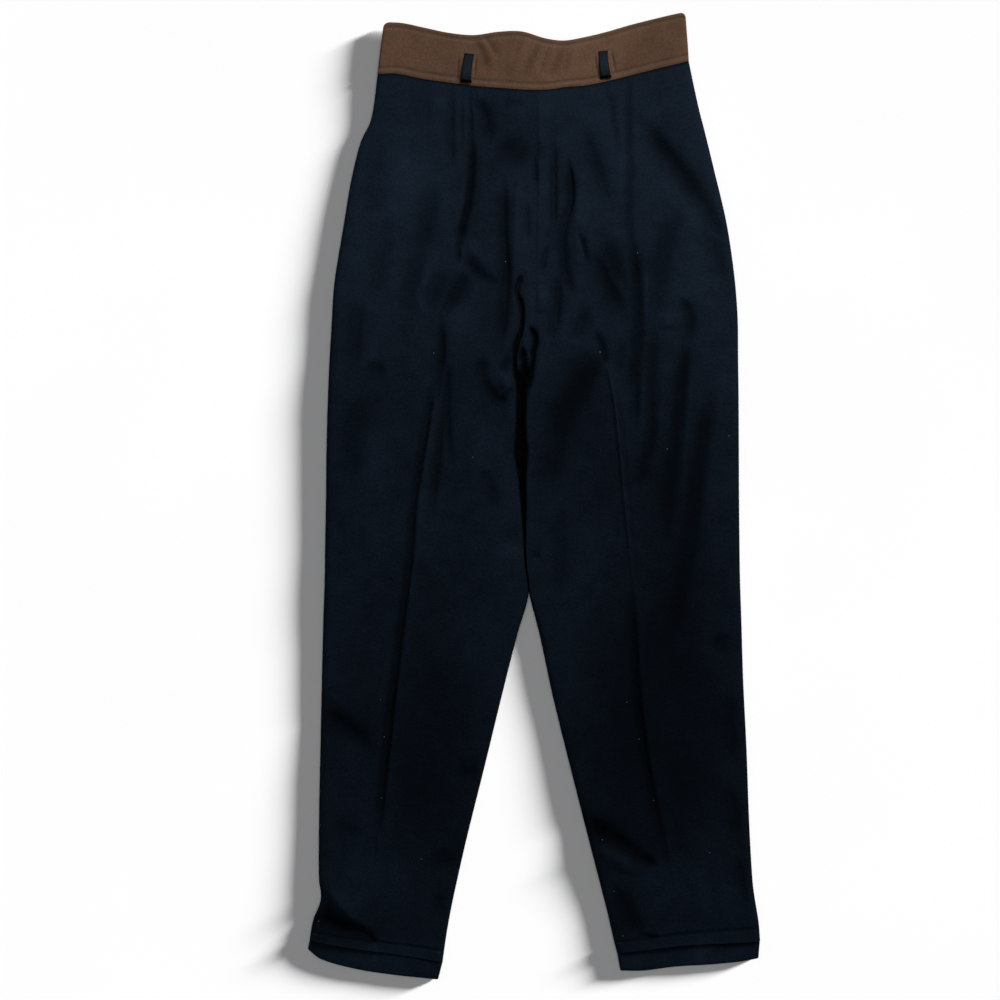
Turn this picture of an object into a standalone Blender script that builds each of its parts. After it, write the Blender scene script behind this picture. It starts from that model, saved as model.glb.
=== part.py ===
# Wool trousers laid flat on their front, seen from the back.
# Millimetres in the tables, metres in the meshes, +Z up, the waistband towards +Y.
import math
from collections import namedtuple

import bmesh
import bpy
from mathutils import Vector

MM = 0.001

# Cloth
WALL = 1.6              # wool cloth, with the seam allowances pressed into it
BAND_WALL = 2.2         # waistband, two layers and an interlining
CUFF_WALL = 2.0         # hem band, cloth turned up once
LOOP_WALL = 1.3
SEAM_GAP = 0.3          # between any two pieces
WELD = 0.01

# How the layers lie on each other
PANEL_FACE = 5.4        # outer face of the upper layer, where no fold lies
FACE_LOWEST = 3.8       # bottom of the deepest trough
FACE_HIGHEST = 7.1      # top of the highest ridge
SEAM_LEVEL = 2.35       # height of the side seams and inseams
WAIST_RISE = 60.0       # the front panels climb to the waistband over this length
FRONT_WAIST = 3.0       # underside of the front panels at the waistband
BACK_WAIST = 7.0        # outer face of the back panels at the waistband
FRONT_BAND = 2.7        # underside of the front waistband
BACK_BAND = FRONT_BAND + 2 * BAND_WALL + SEAM_GAP
BAND_SEAM_LEVEL = FRONT_BAND + BAND_WALL + SEAM_GAP / 2

# Edges that turn down to a seam
TOP_TURN = 8.0
UNDER_TURN = 4.0
GAP_TURN = 5.5          # where the two thighs press together
END_TURN = 3.0          # the folded ends of the bands
CENTRE_FLAT_ABOVE = 150.0
CENTRE_TURNED_BELOW = 95.0
LEGS_PART_AT = -105.0

# Hem
TUCK_DEPTH = 10.0       # the stitched tuck above the hem band
TUCK_HEIGHT = 0.9
CUFF_DROP = 0.6         # the band falls towards the floor at its lower edge

# Front closure
LAP_FROM = -10.0
LAP_TO = 30.0
LAP_RAMP = 16.0
LAP_CLEARANCE = 3.0
LAP_GAP = 2.0           # from the covered end of the lap to where the back waistband comes down
BUTTON_UP = 459.0
BUTTON_SIDES = 24
SHARP_EDGE = 35.0

# The button's turned outline, from the middle of its face to the middle of its back.
Turned = namedtuple("Turned", "radius height")

BUTTON_OUTLINE = (
    Turned(0.0, 0.5),
    Turned(5.8, 0.5),
    Turned(6.5, 0.0),
    Turned(7.7, 0.0),
    Turned(8.5, 0.7),
    Turned(8.5, 1.9),
    Turned(7.7, 2.4),
    Turned(0.0, 2.4),
)

# Belt loops
LOOP_ARCH = 1.4         # how far a loop stands off the back waistband
LOOP_ARCH_UNDER = 0.9
LOOP_BOW_LOW = 1.4      # over 1 puts the fullest part of the bow below the middle

# Section rows of a leg: both edges, and the line of its pressed crease.
Section = namedtuple("Section", "name outer_x outer_y inner_x inner_y crease_x")

LEFT_LEG = (
    Section("waist", -167.5, 449.0, 3.0, 431.5, -72),
    Section("side notch", -174.4, 402.5, 3.2, 387.5, -66),
    Section("upper hip", -186.0, 376.5, 3.3, 361.5, -65),
    Section("hip", -196.0, 336.0, 2.9, 322.0, -71),
    Section("seat", -205.0, 282.5, 2.1, 268.5, -80),
    Section("low seat", -214.0, 226.0, 2.4, 213.0, -91),
    Section("fork", -217.0, 181.0, -2.9, 169.0, -101),
    Section("below fork", -219.5, 138.0, -10.9, 127.5, -102),
    Section("upper thigh", -221.0, 100.5, -13.6, 90.0, -107),
    Section("thigh", -222.5, 47.0, -13.4, 36.5, -116),
    Section("mid thigh", -223.0, -6.5, -10.9, -17.0, -124),
    Section("above knee", -224.0, -60.0, -9.3, -70.5, -128),
    Section("legs part", -224.5, -94.0, -5.4, -105.0, -132),
    Section("knee", -226.0, -140.0, -18.2, -152.0, -138),
    Section("below knee", -227.5, -204.5, -34.6, -217.0, -146),
    Section("calf", -229.0, -274.0, -52.1, -289.0, -154),
    Section("low calf", -230.5, -354.0, -72.5, -371.0, -162),
    Section("ankle", -230.5, -413.0, -86.0, -431.0, -165),
    Section("ankle notch", -228.5, -434.5, -90.3, -452.5, -166),
    Section("above tuck", -236.5, -456.0, -94.0, -474.0, -168),
    Section("hem", -240.5, -477.5, -97.9, -501.0, -169),
)
RIGHT_LEG = (
    Section("waist", 165.9, 462.5, 3.0, 431.5, 49),
    Section("side notch", 176.5, 415.0, 3.2, 387.5, 47),
    Section("upper hip", 183.0, 389.5, 3.3, 361.5, 46),
    Section("hip", 193.5, 346.5, 2.9, 322.0, 46),
    Section("seat", 206.5, 291.0, 2.1, 268.5, 52),
    Section("low seat", 215.0, 233.5, 2.4, 213.0, 66),
    Section("fork", 218.5, 188.5, -2.9, 169.0, 73),
    Section("below fork", 219.0, 145.5, -10.9, 127.5, 79),
    Section("upper thigh", 219.5, 107.0, -13.6, 90.0, 86),
    Section("thigh", 219.8, 53.5, -13.4, 36.5, 92),
    Section("mid thigh", 220.0, 0.0, -10.9, -17.0, 97),
    Section("above knee", 220.5, -54.5, -9.3, -70.5, 103),
    Section("legs part", 221.0, -89.0, -5.4, -105.0, 107),
    Section("knee", 222.5, -136.0, 6.4, -152.0, 111),
    Section("below knee", 224.5, -201.0, 20.3, -217.0, 115),
    Section("calf", 228.0, -273.0, 38.0, -289.0, 124),
    Section("low calf", 231.0, -355.0, 58.9, -371.0, 140),
    Section("ankle", 234.5, -415.0, 74.4, -431.0, 152),
    Section("ankle notch", 237.0, -434.5, 79.7, -452.5, 155),
    Section("above tuck", 241.0, -459.0, 84.8, -475.0, 158),
    Section("hem", 242.5, -478.5, 89.0, -491.5, 161),
)

# Stations along a band: its upper edge and its lower edge.
Station = namedtuple("Station", "top_x top_y low_x low_y")

WAISTBAND = (
    Station(-161.6, 505.0, -167.5, 449.4),
    Station(-141.2, 504.0, -147.7, 449.9),
    Station(-115.6, 498.6, -117.7, 444.0),
    Station(-89.9, 493.3, -87.7, 439.8),
    Station(-64.2, 491.1, -62.1, 436.6),
    Station(-38.5, 494.3, -36.4, 434.4),
    Station(-12.8, 494.3, -10.7, 432.3),
    Station(12.8, 486.9, 15.0, 432.3),
    Station(32.1, 484.7, 34.2, 435.0),
    Station(51.4, 487.9, 53.5, 436.6),
    Station(77.0, 494.3, 79.2, 441.9),
    Station(102.7, 501.8, 104.9, 448.3),
    Station(128.4, 508.3, 130.5, 454.8),
    Station(150.5, 513.5, 152.0, 460.0),
    Station(162.6, 515.7, 165.9, 463.4),
)
LEFT_CUFF = (
    Station(-240.2, -478.3, -242.4, -487.4),
    Station(-226.8, -481.0, -228.2, -498.2),
    Station(-194.7, -486.3, -187.3, -509.3),
    Station(-154.1, -492.2, -151.9, -514.7),
    Station(-122.0, -497.0, -122.0, -517.9),
    Station(-97.9, -501.6, -102.7, -520.0),
)
RIGHT_CUFF = (
    Station(89.3, -492.0, 92.6, -510.4),
    Station(124.1, -487.9, 117.7, -510.4),
    Station(159.4, -483.5, 151.9, -506.1),
    Station(184.0, -481.8, 186.2, -504.0),
    Station(220.4, -480.4, 220.4, -500.8),
    Station(242.2, -479.2, 240.8, -497.0),
)

# The largest folds: a curve through three points, the half width and the height (a trough is below 0).
Fold = namedtuple("Fold", "name x1 y1 x2 y2 x3 y3 width height")

FOLDS = (
    Fold("left seat, from the dart", -65, 409, -73, 312, -82, 267, 7, -1.6),
    Fold("left seat, turning in", -79, 261, -61, 241, -36, 228, 6, -1.4),
    Fold("left seat, beside the seam", -31, 331, -29, 243, -40, 138, 7, -1.6),
    Fold("left fork hollow", -51, 139, -48, 113, -35, 94, 9, -1.5),
    Fold("left low seat hollow", -70, 234, -84, 213, -99, 193, 9, -1.4),
    Fold("left thigh", -92, 144, -89, 82, -86, 13, 9, -1.1),
    Fold("left side, at the fork", -184, 198, -187, 170, -190, 141, 7, -1.2),
    Fold("left side, at the hip", -169, 361, -172, 331, -175, 304, 8, -1.0),
    Fold("left calf", -227, -243, -198, -253, -175, -276, 7, -1.3),
    Fold("left ankle, pinched fold", -228, -453, -201, -465, -172, -478, 5, -1.7),
    Fold("left ankle, ridge above it", -221, -423, -201, -446, -172, -475, 7, 1.2),
    Fold("left calf, inner side", -57, -298, -70, -301, -83, -302, 7, -0.9),
    Fold("pressed seam allowance", 11, 428, 11, 330, 11, 207, 7, 0.5),
    Fold("right of the allowance", 20, 384, 21, 319, 20, 271, 5, -0.9),
    Fold("right seat, upright", 35, 361, 33, 301, 43, 201, 8, -1.5),
    Fold("right seat, soft", 57, 384, 74, 334, 83, 301, 9, -1.1),
    Fold("right seat, sharp", 50, 276, 57, 256, 62, 237, 5, -1.6),
    Fold("right low seat hollow", 71, 259, 83, 211, 95, 189, 10, -1.4),
    Fold("right, from the dart down", 102, 429, 103, 315, 110, 165, 8, -1.6),
    Fold("right hip, slanting", 117, 394, 162, 336, 197, 274, 12, -1.5),
    Fold("right thigh, middle", 155, 204, 162, 153, 147, 32, 10, -1.4),
    Fold("right thigh, outer side", 184, 89, 167, -28, 147, -153, 12, -1.2),
    Fold("right thigh, inner side", 130, 188, 124, 129, 113, 26, 9, -1.1),
    Fold("right inner hollow", 65, 141, 28, 74, 13, -6, 14, -1.6),
    Fold("right, above the hollow", 65, 170, 73, 151, 79, 133, 5, -1.3),
    Fold("right calf, slanting", 58, -354, 107, -384, 133, -398, 7, -1.7),
    Fold("right calf, ridge below it", 71, -373, 95, -390, 113, -400, 7, 1.2),
    Fold("right ankle", 90, -423, 108, -458, 136, -475, 6, -1.3),
    Fold("right calf, outer side", 215, -364, 220, -394, 225, -423, 6, -1.1),
)

# Pressed leg crease: a sharp ridge with a trough on its outer side.
CREASE_HEIGHT = 1.1
CREASE_WIDTH = 5.0
CREASE_TROUGH = 0.6     # the trough's depth as a share of the ridge
CREASE_FULL_BELOW = 175.0
CREASE_NONE_ABOVE = 230.0

# Belt loops: the middle of the upper end and of the lower end.
Loop = namedtuple("Loop", "name top_x top_y low_x low_y")

LOOP_WIDTH = 10.4
LOOPS = (
    Loop("left", -69.2, 470.8, -72.6, 441.4),
    Loop("right", 73.7, 473.8, 76.8, 446.0),
)

# How finely each piece is divided
PANEL_TURN_STEPS = 3
PANEL_STEPS_TO_CREASE = 11
PANEL_STEPS_PAST_CREASE = 11
UNDER_TURN_STEPS = 2
UNDER_STEPS = 18
BAND_STEPS = 22
BAND_ROWS = 3
CUFF_STEPS = 10
CUFF_ROWS = 2
LOOP_ROWS = 8
FOLD_SAMPLES = 9
FOLD_END = 0.1          # a fold starts and ends at this share of a half wave

# Rows down a leg, by the height of the inner edge: how far each stretch goes and its number of rows.
Stretch = namedtuple("Stretch", "until rows")

TOP_STRETCHES = (
    Stretch(150.0, 22),
    Stretch(-105.0, 12),
    Stretch(-330.0, 8),
    Stretch(None, 14),
)
UNDER_STRETCHES = (
    Stretch(150.0, 6),
    Stretch(-105.0, 5),
    Stretch(-330.0, 3),
    Stretch(None, 3),
)

NAVY = (0.0062, 0.0094, 0.0155, 1.0)
BROWN = (0.084, 0.05, 0.031, 1.0)
HORN = (0.035, 0.022, 0.014, 1.0)
CLOTH_ROUGHNESS = 0.92
HORN_ROUGHNESS = 0.35


def clear_scene():
    for obj in list(bpy.data.objects):
        bpy.data.objects.remove(obj, do_unlink=True)


def principled(name, color, roughness):
    material = bpy.data.materials.new(name)
    material.use_nodes = True
    shader = material.node_tree.nodes["Principled BSDF"]
    shader.inputs["Base Color"].default_value = color
    shader.inputs["Roughness"].default_value = roughness
    shader.inputs["Metallic"].default_value = 0.0
    return material


def mix(a, b, share):
    return a + (b - a) * share


def ramp(value, start, end):
    """0 before start, 1 past end, straight between."""
    return min(1.0, max(0.0, (value - start) / (end - start)))


def smooth(share):
    return share * share * (3 - 2 * share)


def curve_value(knots, values, at):
    """Smooth curve through the values, with slopes from their neighbours."""
    if knots[0] > knots[-1]:
        knots, values = knots[::-1], values[::-1]
    last = len(knots) - 1
    k = max(0, min(last - 1, sum(knot <= at for knot in knots) - 1))

    def slope(i):
        low, high = max(0, i - 1), min(last, i + 1)
        return (values[high] - values[low]) / (knots[high] - knots[low])

    span = knots[k + 1] - knots[k]
    t = min(1.0, max(0.0, (at - knots[k]) / span))
    return (
        (2 * t**3 - 3 * t**2 + 1) * values[k]
        + (t**3 - 2 * t**2 + t) * span * slope(k)
        + (3 * t**2 - 2 * t**3) * values[k + 1]
        + (t**3 - t**2) * span * slope(k + 1)
    )


def column(table, name):
    return [getattr(row, name) for row in table]


def band_edge(stations, side, x):
    """Height of a band's top or low edge at x."""
    return curve_value(column(stations, f"{side}_x"), column(stations, f"{side}_y"), x)


class Leg:
    """The outline of one leg, row by row, with its waist and hem rows on the bands' edges."""

    def __init__(self, sections, cuff, side):
        self.sections = sections
        self.cuff = cuff
        self.side = side
        self.knots = column(sections, "inner_y")
        self.top = sections[0]
        self.bottom = sections[-1]

    def at(self, name, inner_y):
        return curve_value(self.knots, column(self.sections, name), inner_y)

    def ends(self, inner_y):
        """x of the outer edge, the crease and the inner edge."""
        inner = self.at("inner_x", inner_y)
        if inner_y >= LEGS_PART_AT:
            inner = middle_x(inner_y) + self.side * SEAM_GAP / 2
        return self.at("outer_x", inner_y), self.at("crease_x", inner_y), inner

    def chord(self, row, x):
        share = (x - row.outer_x) / (row.inner_x - row.outer_x)
        return mix(row.outer_y, row.inner_y, share)

    def row_y(self, inner_y, x):
        outer_x, _, inner_x = self.ends(inner_y)
        share = (x - outer_x) / (inner_x - outer_x)
        y = mix(self.at("outer_y", inner_y), inner_y, share)
        near_waist = ramp(inner_y, self.top.inner_y - WAIST_RISE, self.top.inner_y)
        near_hem = ramp(-inner_y, -self.bottom.inner_y - WAIST_RISE, -self.bottom.inner_y)
        waist = band_edge(WAISTBAND, "low", x) - SEAM_GAP - self.chord(self.top, x)
        hem = band_edge(self.cuff, "top", x) + SEAM_GAP - self.chord(self.bottom, x)
        return y + near_waist * waist + near_hem * hem

    def rows(self, stretches):
        """Inner-edge heights of all rows, from the waist to the hem."""
        heights = [self.top.inner_y]
        for stretch in stretches:
            start = heights[-1]
            end = self.bottom.inner_y if stretch.until is None else stretch.until
            heights += [mix(start, end, (k + 1) / stretch.rows) for k in range(stretch.rows)]
        return heights


LEFT = Leg(LEFT_LEG, LEFT_CUFF, -1)
RIGHT = Leg(RIGHT_LEG, RIGHT_CUFF, 1)


def middle_x(inner_y):
    """The line on which both halves meet, down to where the legs part."""
    return (LEFT.at("inner_x", inner_y) + RIGHT.at("inner_x", inner_y)) / 2


def fold_curve(fold):
    """Points along the fold, through its three given ones."""
    points = []
    for k in range(FOLD_SAMPLES):
        t = k / (FOLD_SAMPLES - 1)
        first, middle, last = (1 - t) * (1 - 2 * t), 4 * t * (1 - t), t * (2 * t - 1)
        x = first * fold.x1 + middle * fold.x2 + last * fold.x3
        y = first * fold.y1 + middle * fold.y2 + last * fold.y3
        points.append(Vector((x, y)))
    return points


FOLD_CURVES = [(fold, fold_curve(fold)) for fold in FOLDS]


def nearest_on(points, spot):
    """Distance from the spot to the curve, and how far along the curve it lies."""
    best, along = math.inf, 0.0
    for k in range(len(points) - 1):
        run = points[k + 1] - points[k]
        share = min(1.0, max(0.0, (spot - points[k]).dot(run) / run.length_squared))
        distance = (spot - points[k] - run * share).length
        if distance < best:
            best, along = distance, (k + share) / (len(points) - 1)
    return best, along


def folds_at(x, y):
    total = 0.0
    spot = Vector((x, y))
    for fold, points in FOLD_CURVES:
        distance, along = nearest_on(points, spot)
        if distance < 3 * fold.width:
            fading = math.sin(math.pi * mix(FOLD_END, 1 - FOLD_END, along))
            total += fold.height * fading * math.exp(-((distance / fold.width) ** 2))
    return total


def crease_at(leg, x, inner_y):
    across = (x - leg.ends(inner_y)[1]) * leg.side
    strength = 1 - smooth(ramp(inner_y, CREASE_FULL_BELOW, CREASE_NONE_ABOVE))
    ridge = math.exp(-abs(across) / CREASE_WIDTH)
    trough = CREASE_TROUGH * math.exp(-(((across - 2 * CREASE_WIDTH) / CREASE_WIDTH) ** 2))
    return CREASE_HEIGHT * strength * (ridge - trough)


def waist_share(leg, inner_y):
    return smooth(ramp(inner_y, leg.top.inner_y - WAIST_RISE, leg.top.inner_y))


def upper_face(leg, x, inner_y):
    """Height of the outer face of a back panel."""
    share = waist_share(leg, inner_y)
    y = leg.row_y(inner_y, x)
    face = mix(PANEL_FACE, BACK_WAIST, share)
    face += (folds_at(x, y) + crease_at(leg, x, inner_y)) * (1 - share)
    lowest = mix(FACE_LOWEST, BACK_WAIST, share)
    return min(max(face, lowest), mix(FACE_HIGHEST, BACK_WAIST, share))


def seam_level(leg, inner_y):
    return mix(SEAM_LEVEL, FRONT_WAIST + WALL + SEAM_GAP / 2, waist_share(leg, inner_y))


def turned_edge(theta, rolled, turn, thickness):
    """How far in the shown and the hidden face are, and their share of the full height."""
    part = 1 - math.cos(theta)
    start = rolled * thickness
    lift = mix(1.0, math.sin(theta), rolled)
    return turn * part, start + (turn - start) * part, lift


def row_columns(ends, rolled, turn, thickness, turn_steps, steps):
    """Distance across one row for both faces, and the lift: turned edge, flat part, turned edge."""
    width = abs(ends[-1] - ends[0])
    columns = []
    for k in range(turn_steps):
        theta = math.pi / 2 * k / turn_steps
        columns.append(turned_edge(theta, rolled[0], turn[0], thickness))
    stops = [turn[0]] + [abs(end - ends[0]) for end in ends[1:-1]] + [width - turn[1]]
    for stretch, count in enumerate(steps):
        for k in range(count):
            distance = mix(stops[stretch], stops[stretch + 1], k / count)
            columns.append((distance, distance, 1.0))
    columns.append((width - turn[1], width - turn[1], 1.0))
    for k in reversed(range(turn_steps)):
        theta = math.pi / 2 * k / turn_steps
        shown, hidden, lift = turned_edge(theta, rolled[1], turn[1], thickness)
        columns.append((width - shown, width - hidden, lift))
    return columns


def wall_object(name, columns, rows, place, material):
    """A closed cloth wall: a grid for the shown face, one for the hidden face, and the rim."""
    mesh = bmesh.new()
    bmesh.ops.create_grid(mesh, x_segments=columns - 1, y_segments=rows - 1, size=0.5)
    shown = set(mesh.verts)
    bmesh.ops.extrude_face_region(mesh, geom=mesh.faces[:])
    for vert in mesh.verts:
        i = round((vert.co.x + 0.5) * (columns - 1))
        j = round((0.5 - vert.co.y) * (rows - 1))
        vert.co = Vector(place(i, j, vert in shown)) * MM
    bmesh.ops.recalc_face_normals(mesh, faces=mesh.faces[:])
    data = bpy.data.meshes.new(name)
    mesh.to_mesh(data)
    mesh.free()
    data.materials.append(material)
    data.shade_smooth()
    obj = bpy.data.objects.new(name, data)
    bpy.context.scene.collection.objects.link(obj)
    return obj


def inner_edge(leg, inner_y, turn):
    """How far the inner edge is turned, and over what width: flat at the seat seam, round on the leg."""
    rolled = 1 - smooth(ramp(inner_y, CENTRE_TURNED_BELOW, CENTRE_FLAT_ABOVE))
    parted = ramp(-inner_y, -LEGS_PART_AT, -LEGS_PART_AT + WAIST_RISE)
    return rolled, mix(min(turn, GAP_TURN), turn, parted)


def panel(name, leg, turn, turn_steps, steps, stretches, faces, with_crease, material):
    """One leg panel. faces(x, inner_y) gives the heights of the shown and the hidden face."""
    heights = leg.rows(stretches)
    all_columns = []
    for inner_y in heights:
        outer, crease, inner = leg.ends(inner_y)
        rolled, inner_turn = inner_edge(leg, inner_y, turn)
        ends = (outer, crease, inner) if with_crease else (outer, inner)
        turns = (turn, inner_turn)
        all_columns.append(row_columns(ends, (1.0, rolled), turns, WALL, turn_steps, steps))

    def place(i, j, is_shown):
        inner_y = heights[j]
        shown, hidden, lift = all_columns[j][i]
        distance = shown if is_shown else hidden
        x = leg.ends(inner_y)[0] - leg.side * distance
        shown_face, hidden_face, seam = faces(x, inner_y)
        face = shown_face if is_shown else hidden_face
        return x, leg.row_y(inner_y, x), mix(seam, face, lift)

    return wall_object(name, len(all_columns[0]), len(heights), place, material)


def back_panel(name, leg, material):
    hem_y = leg.bottom.inner_y

    def faces(x, inner_y):
        face = upper_face(leg, x, inner_y)
        tuck = TUCK_HEIGHT * ramp(-inner_y, -hem_y - TUCK_DEPTH - 1, -hem_y - TUCK_DEPTH)
        return face + tuck, face - WALL, seam_level(leg, inner_y) + SEAM_GAP / 2

    steps = (PANEL_STEPS_TO_CREASE, PANEL_STEPS_PAST_CREASE)
    return panel(name, leg, TOP_TURN, PANEL_TURN_STEPS, steps, TOP_STRETCHES, faces, True, material)


def front_panel(name, leg, material):
    def faces(x, inner_y):
        rise = FRONT_WAIST * waist_share(leg, inner_y)
        return rise, rise + WALL, seam_level(leg, inner_y) - SEAM_GAP / 2

    steps = (UNDER_STEPS,)
    return panel(name, leg, UNDER_TURN, UNDER_TURN_STEPS, steps, UNDER_STRETCHES, faces, False, material)


def band(name, stations, span, corners, steps, rows, rolled, thickness, faces, seam, material):
    """A strip along the stations from one x to another. Its columns include the given corners."""
    start, end = span
    knots = column(stations, "low_x")
    stops = sorted({start + END_TURN * rolled[0], end - END_TURN * rolled[1], *corners})
    spacing = (end - start) / steps
    flat = []
    for low, high in zip(stops, stops[1:]):
        count = max(1, round((high - low) / spacing))
        flat += [mix(low, high, k / count) for k in range(count)]
    flat.append(stops[-1])
    columns = [(x, x, 1.0) for x in flat]
    for side, sign, edge in ((0, 1, start), (1, -1, end)):
        if rolled[side]:
            turned = []
            for k in range(UNDER_TURN_STEPS):
                theta = math.pi / 2 * k / UNDER_TURN_STEPS
                shown, hidden, lift = turned_edge(theta, 1.0, END_TURN, thickness)
                turned.append((edge + sign * shown, edge + sign * hidden, lift))
            columns = turned + columns if side == 0 else columns + turned[::-1]

    def place(i, j, is_shown):
        shown, hidden, lift = columns[i]
        low_x = shown if is_shown else hidden
        down = j / (rows - 1)
        top_x = curve_value(knots, column(stations, "top_x"), low_x)
        x = mix(top_x, low_x, down)
        y = mix(band_edge(stations, "top", top_x), band_edge(stations, "low", low_x), down)
        face = faces(low_x, down)[0 if is_shown else 1]
        return x, y, mix(seam, face, lift)

    return wall_object(name, len(columns), rows, place, material)


def waistbands(material):
    """The back band and the two front bands, whose ends lap and lift the back band above them."""
    lift = BAND_WALL + SEAM_GAP
    left, right = WAISTBAND[0].low_x, WAISTBAND[-1].low_x
    lap_end = LAP_TO + LAP_CLEARANCE
    front_corners = (lap_end, lap_end + LAP_RAMP)
    back_corners = (
        LAP_FROM - LAP_GAP - LAP_RAMP,
        LAP_FROM - LAP_GAP,
        front_corners[0] + LAP_CLEARANCE,
        front_corners[1] + 2 * LAP_CLEARANCE,
    )

    def back_faces(x, down):
        over = min(ramp(x, *back_corners[:2]), 1 - ramp(x, *back_corners[2:]))
        inner = BACK_BAND - BAND_WALL + lift * over
        return inner + BAND_WALL, inner

    def outer_lap(x, down):
        return FRONT_BAND, FRONT_BAND + BAND_WALL

    def inner_lap(x, down):
        outer = FRONT_BAND + lift * (1 - ramp(x, *front_corners))
        return outer, outer + BAND_WALL

    above, below = BAND_SEAM_LEVEL + SEAM_GAP / 2, BAND_SEAM_LEVEL - SEAM_GAP / 2
    rows = BAND_ROWS
    band("waistband_back", WAISTBAND, (left, right), back_corners, BAND_STEPS, rows, (1, 1),
         BAND_WALL, back_faces, above, material)
    band("waistband_front_left", WAISTBAND, (left, LAP_TO), (), BAND_STEPS, rows, (1, 0),
         BAND_WALL, outer_lap, below, material)
    band("waistband_front_right", WAISTBAND, (LAP_FROM, right), front_corners, BAND_STEPS, rows,
         (0, 1), BAND_WALL, inner_lap, below, material)


def cuffs(name, stations, material):
    """The back and the front half of one hem band."""
    span = (stations[0].low_x, stations[-1].low_x)

    def back_faces(x, down):
        face = PANEL_FACE - CUFF_DROP * down
        return face, face - CUFF_WALL

    def front_faces(x, down):
        return 0.0, CUFF_WALL

    above, below = SEAM_LEVEL + SEAM_GAP / 2, SEAM_LEVEL - SEAM_GAP / 2
    band(f"cuff_{name}_back", stations, span, (), CUFF_STEPS, CUFF_ROWS, (1, 1), CUFF_WALL,
         back_faces, above, material)
    band(f"cuff_{name}_front", stations, span, (), CUFF_STEPS, CUFF_ROWS, (1, 1), CUFF_WALL,
         front_faces, below, material)


def belt_loop(name, loop, start, direction, arch, material):
    """A strap across the waistband, bowed away from it."""
    top = Vector((loop.top_x, loop.top_y))
    low = Vector((loop.low_x, loop.low_y))
    across = (low - top).orthogonal().normalized()

    def place(i, j, is_shown):
        down = j / (LOOP_ROWS - 1)
        spot = top.lerp(low, down) + across * LOOP_WIDTH * (i - 0.5)
        bow = arch * math.sin(math.pi * down**LOOP_BOW_LOW)
        off = start + direction * (bow + (LOOP_WALL if is_shown else 0.0))
        return spot.x, spot.y, off

    return wall_object(name, 2, LOOP_ROWS, place, material)


def button(material):
    """A turned disc with a raised rim, under the lap."""
    mesh = bmesh.new()
    middle = (LAP_FROM + LAP_TO) / 2
    points = [mesh.verts.new(Vector((turned.radius, 0.0, turned.height)) * MM) for turned in BUTTON_OUTLINE]
    edges = [mesh.edges.new(pair) for pair in zip(points, points[1:])]
    bmesh.ops.spin(mesh, geom=points + edges, axis=(0, 0, 1), angle=2 * math.pi,
                   steps=BUTTON_SIDES, use_merge=True)
    bmesh.ops.remove_doubles(mesh, verts=mesh.verts[:], dist=WELD * MM)
    bmesh.ops.recalc_face_normals(mesh, faces=mesh.faces[:])
    data = bpy.data.meshes.new("button")
    mesh.to_mesh(data)
    mesh.free()
    data.materials.append(material)
    data.shade_smooth()
    data.set_sharp_from_angle(angle=math.radians(SHARP_EDGE))
    obj = bpy.data.objects.new("button", data)
    obj.location = Vector((middle, BUTTON_UP, 0.0)) * MM
    bpy.context.scene.collection.objects.link(obj)


def centre_on_origin():
    """Put the middle of the whole garment above the origin, resting on the plane below it."""
    bpy.context.view_layer.update()
    corners = [obj.matrix_world @ Vector(c) for obj in bpy.data.objects for c in obj.bound_box]
    middle = [(min(c[k] for c in corners) + max(c[k] for c in corners)) / 2 for k in range(2)]
    shift = Vector((-middle[0], -middle[1], -min(c.z for c in corners)))
    for obj in bpy.data.objects:
        obj.location += shift


def build():
    clear_scene()
    navy = principled("navy_wool", NAVY, CLOTH_ROUGHNESS)
    brown = principled("brown_wool", BROWN, CLOTH_ROUGHNESS)
    horn = principled("horn", HORN, HORN_ROUGHNESS)
    back_panel("back_left", LEFT, navy)
    back_panel("back_right", RIGHT, navy)
    front_panel("front_left", LEFT, navy)
    front_panel("front_right", RIGHT, navy)
    waistbands(brown)
    cuffs("left", LEFT_CUFF, navy)
    cuffs("right", RIGHT_CUFF, navy)
    for loop in LOOPS:
        belt_loop(f"loop_back_{loop.name}", loop, BACK_BAND + SEAM_GAP, 1, LOOP_ARCH, navy)
        belt_loop(f"loop_front_{loop.name}", loop, FRONT_BAND - SEAM_GAP, -1, LOOP_ARCH_UNDER, navy)
    button(horn)
    centre_on_origin()


build()
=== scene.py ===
import math
from collections import namedtuple

import bmesh
import bpy
import numpy as np
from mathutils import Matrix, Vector


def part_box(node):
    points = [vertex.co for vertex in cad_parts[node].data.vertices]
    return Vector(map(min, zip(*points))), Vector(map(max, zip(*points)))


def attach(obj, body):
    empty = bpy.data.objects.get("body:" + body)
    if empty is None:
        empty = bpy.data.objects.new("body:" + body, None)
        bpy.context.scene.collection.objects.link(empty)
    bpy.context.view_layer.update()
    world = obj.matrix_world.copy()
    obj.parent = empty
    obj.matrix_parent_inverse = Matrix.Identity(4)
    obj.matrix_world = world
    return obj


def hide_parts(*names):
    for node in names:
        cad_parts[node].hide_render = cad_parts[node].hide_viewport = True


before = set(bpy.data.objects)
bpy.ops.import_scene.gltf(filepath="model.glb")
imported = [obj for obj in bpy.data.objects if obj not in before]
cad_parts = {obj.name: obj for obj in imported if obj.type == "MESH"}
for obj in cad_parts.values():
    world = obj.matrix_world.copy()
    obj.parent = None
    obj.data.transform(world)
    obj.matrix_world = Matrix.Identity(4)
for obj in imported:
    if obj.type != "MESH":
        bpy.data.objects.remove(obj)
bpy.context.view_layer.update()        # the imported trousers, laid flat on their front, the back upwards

# Lengths are in millimetres, angles in degrees, shares from 0 to 1
MM = 0.001

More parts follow.
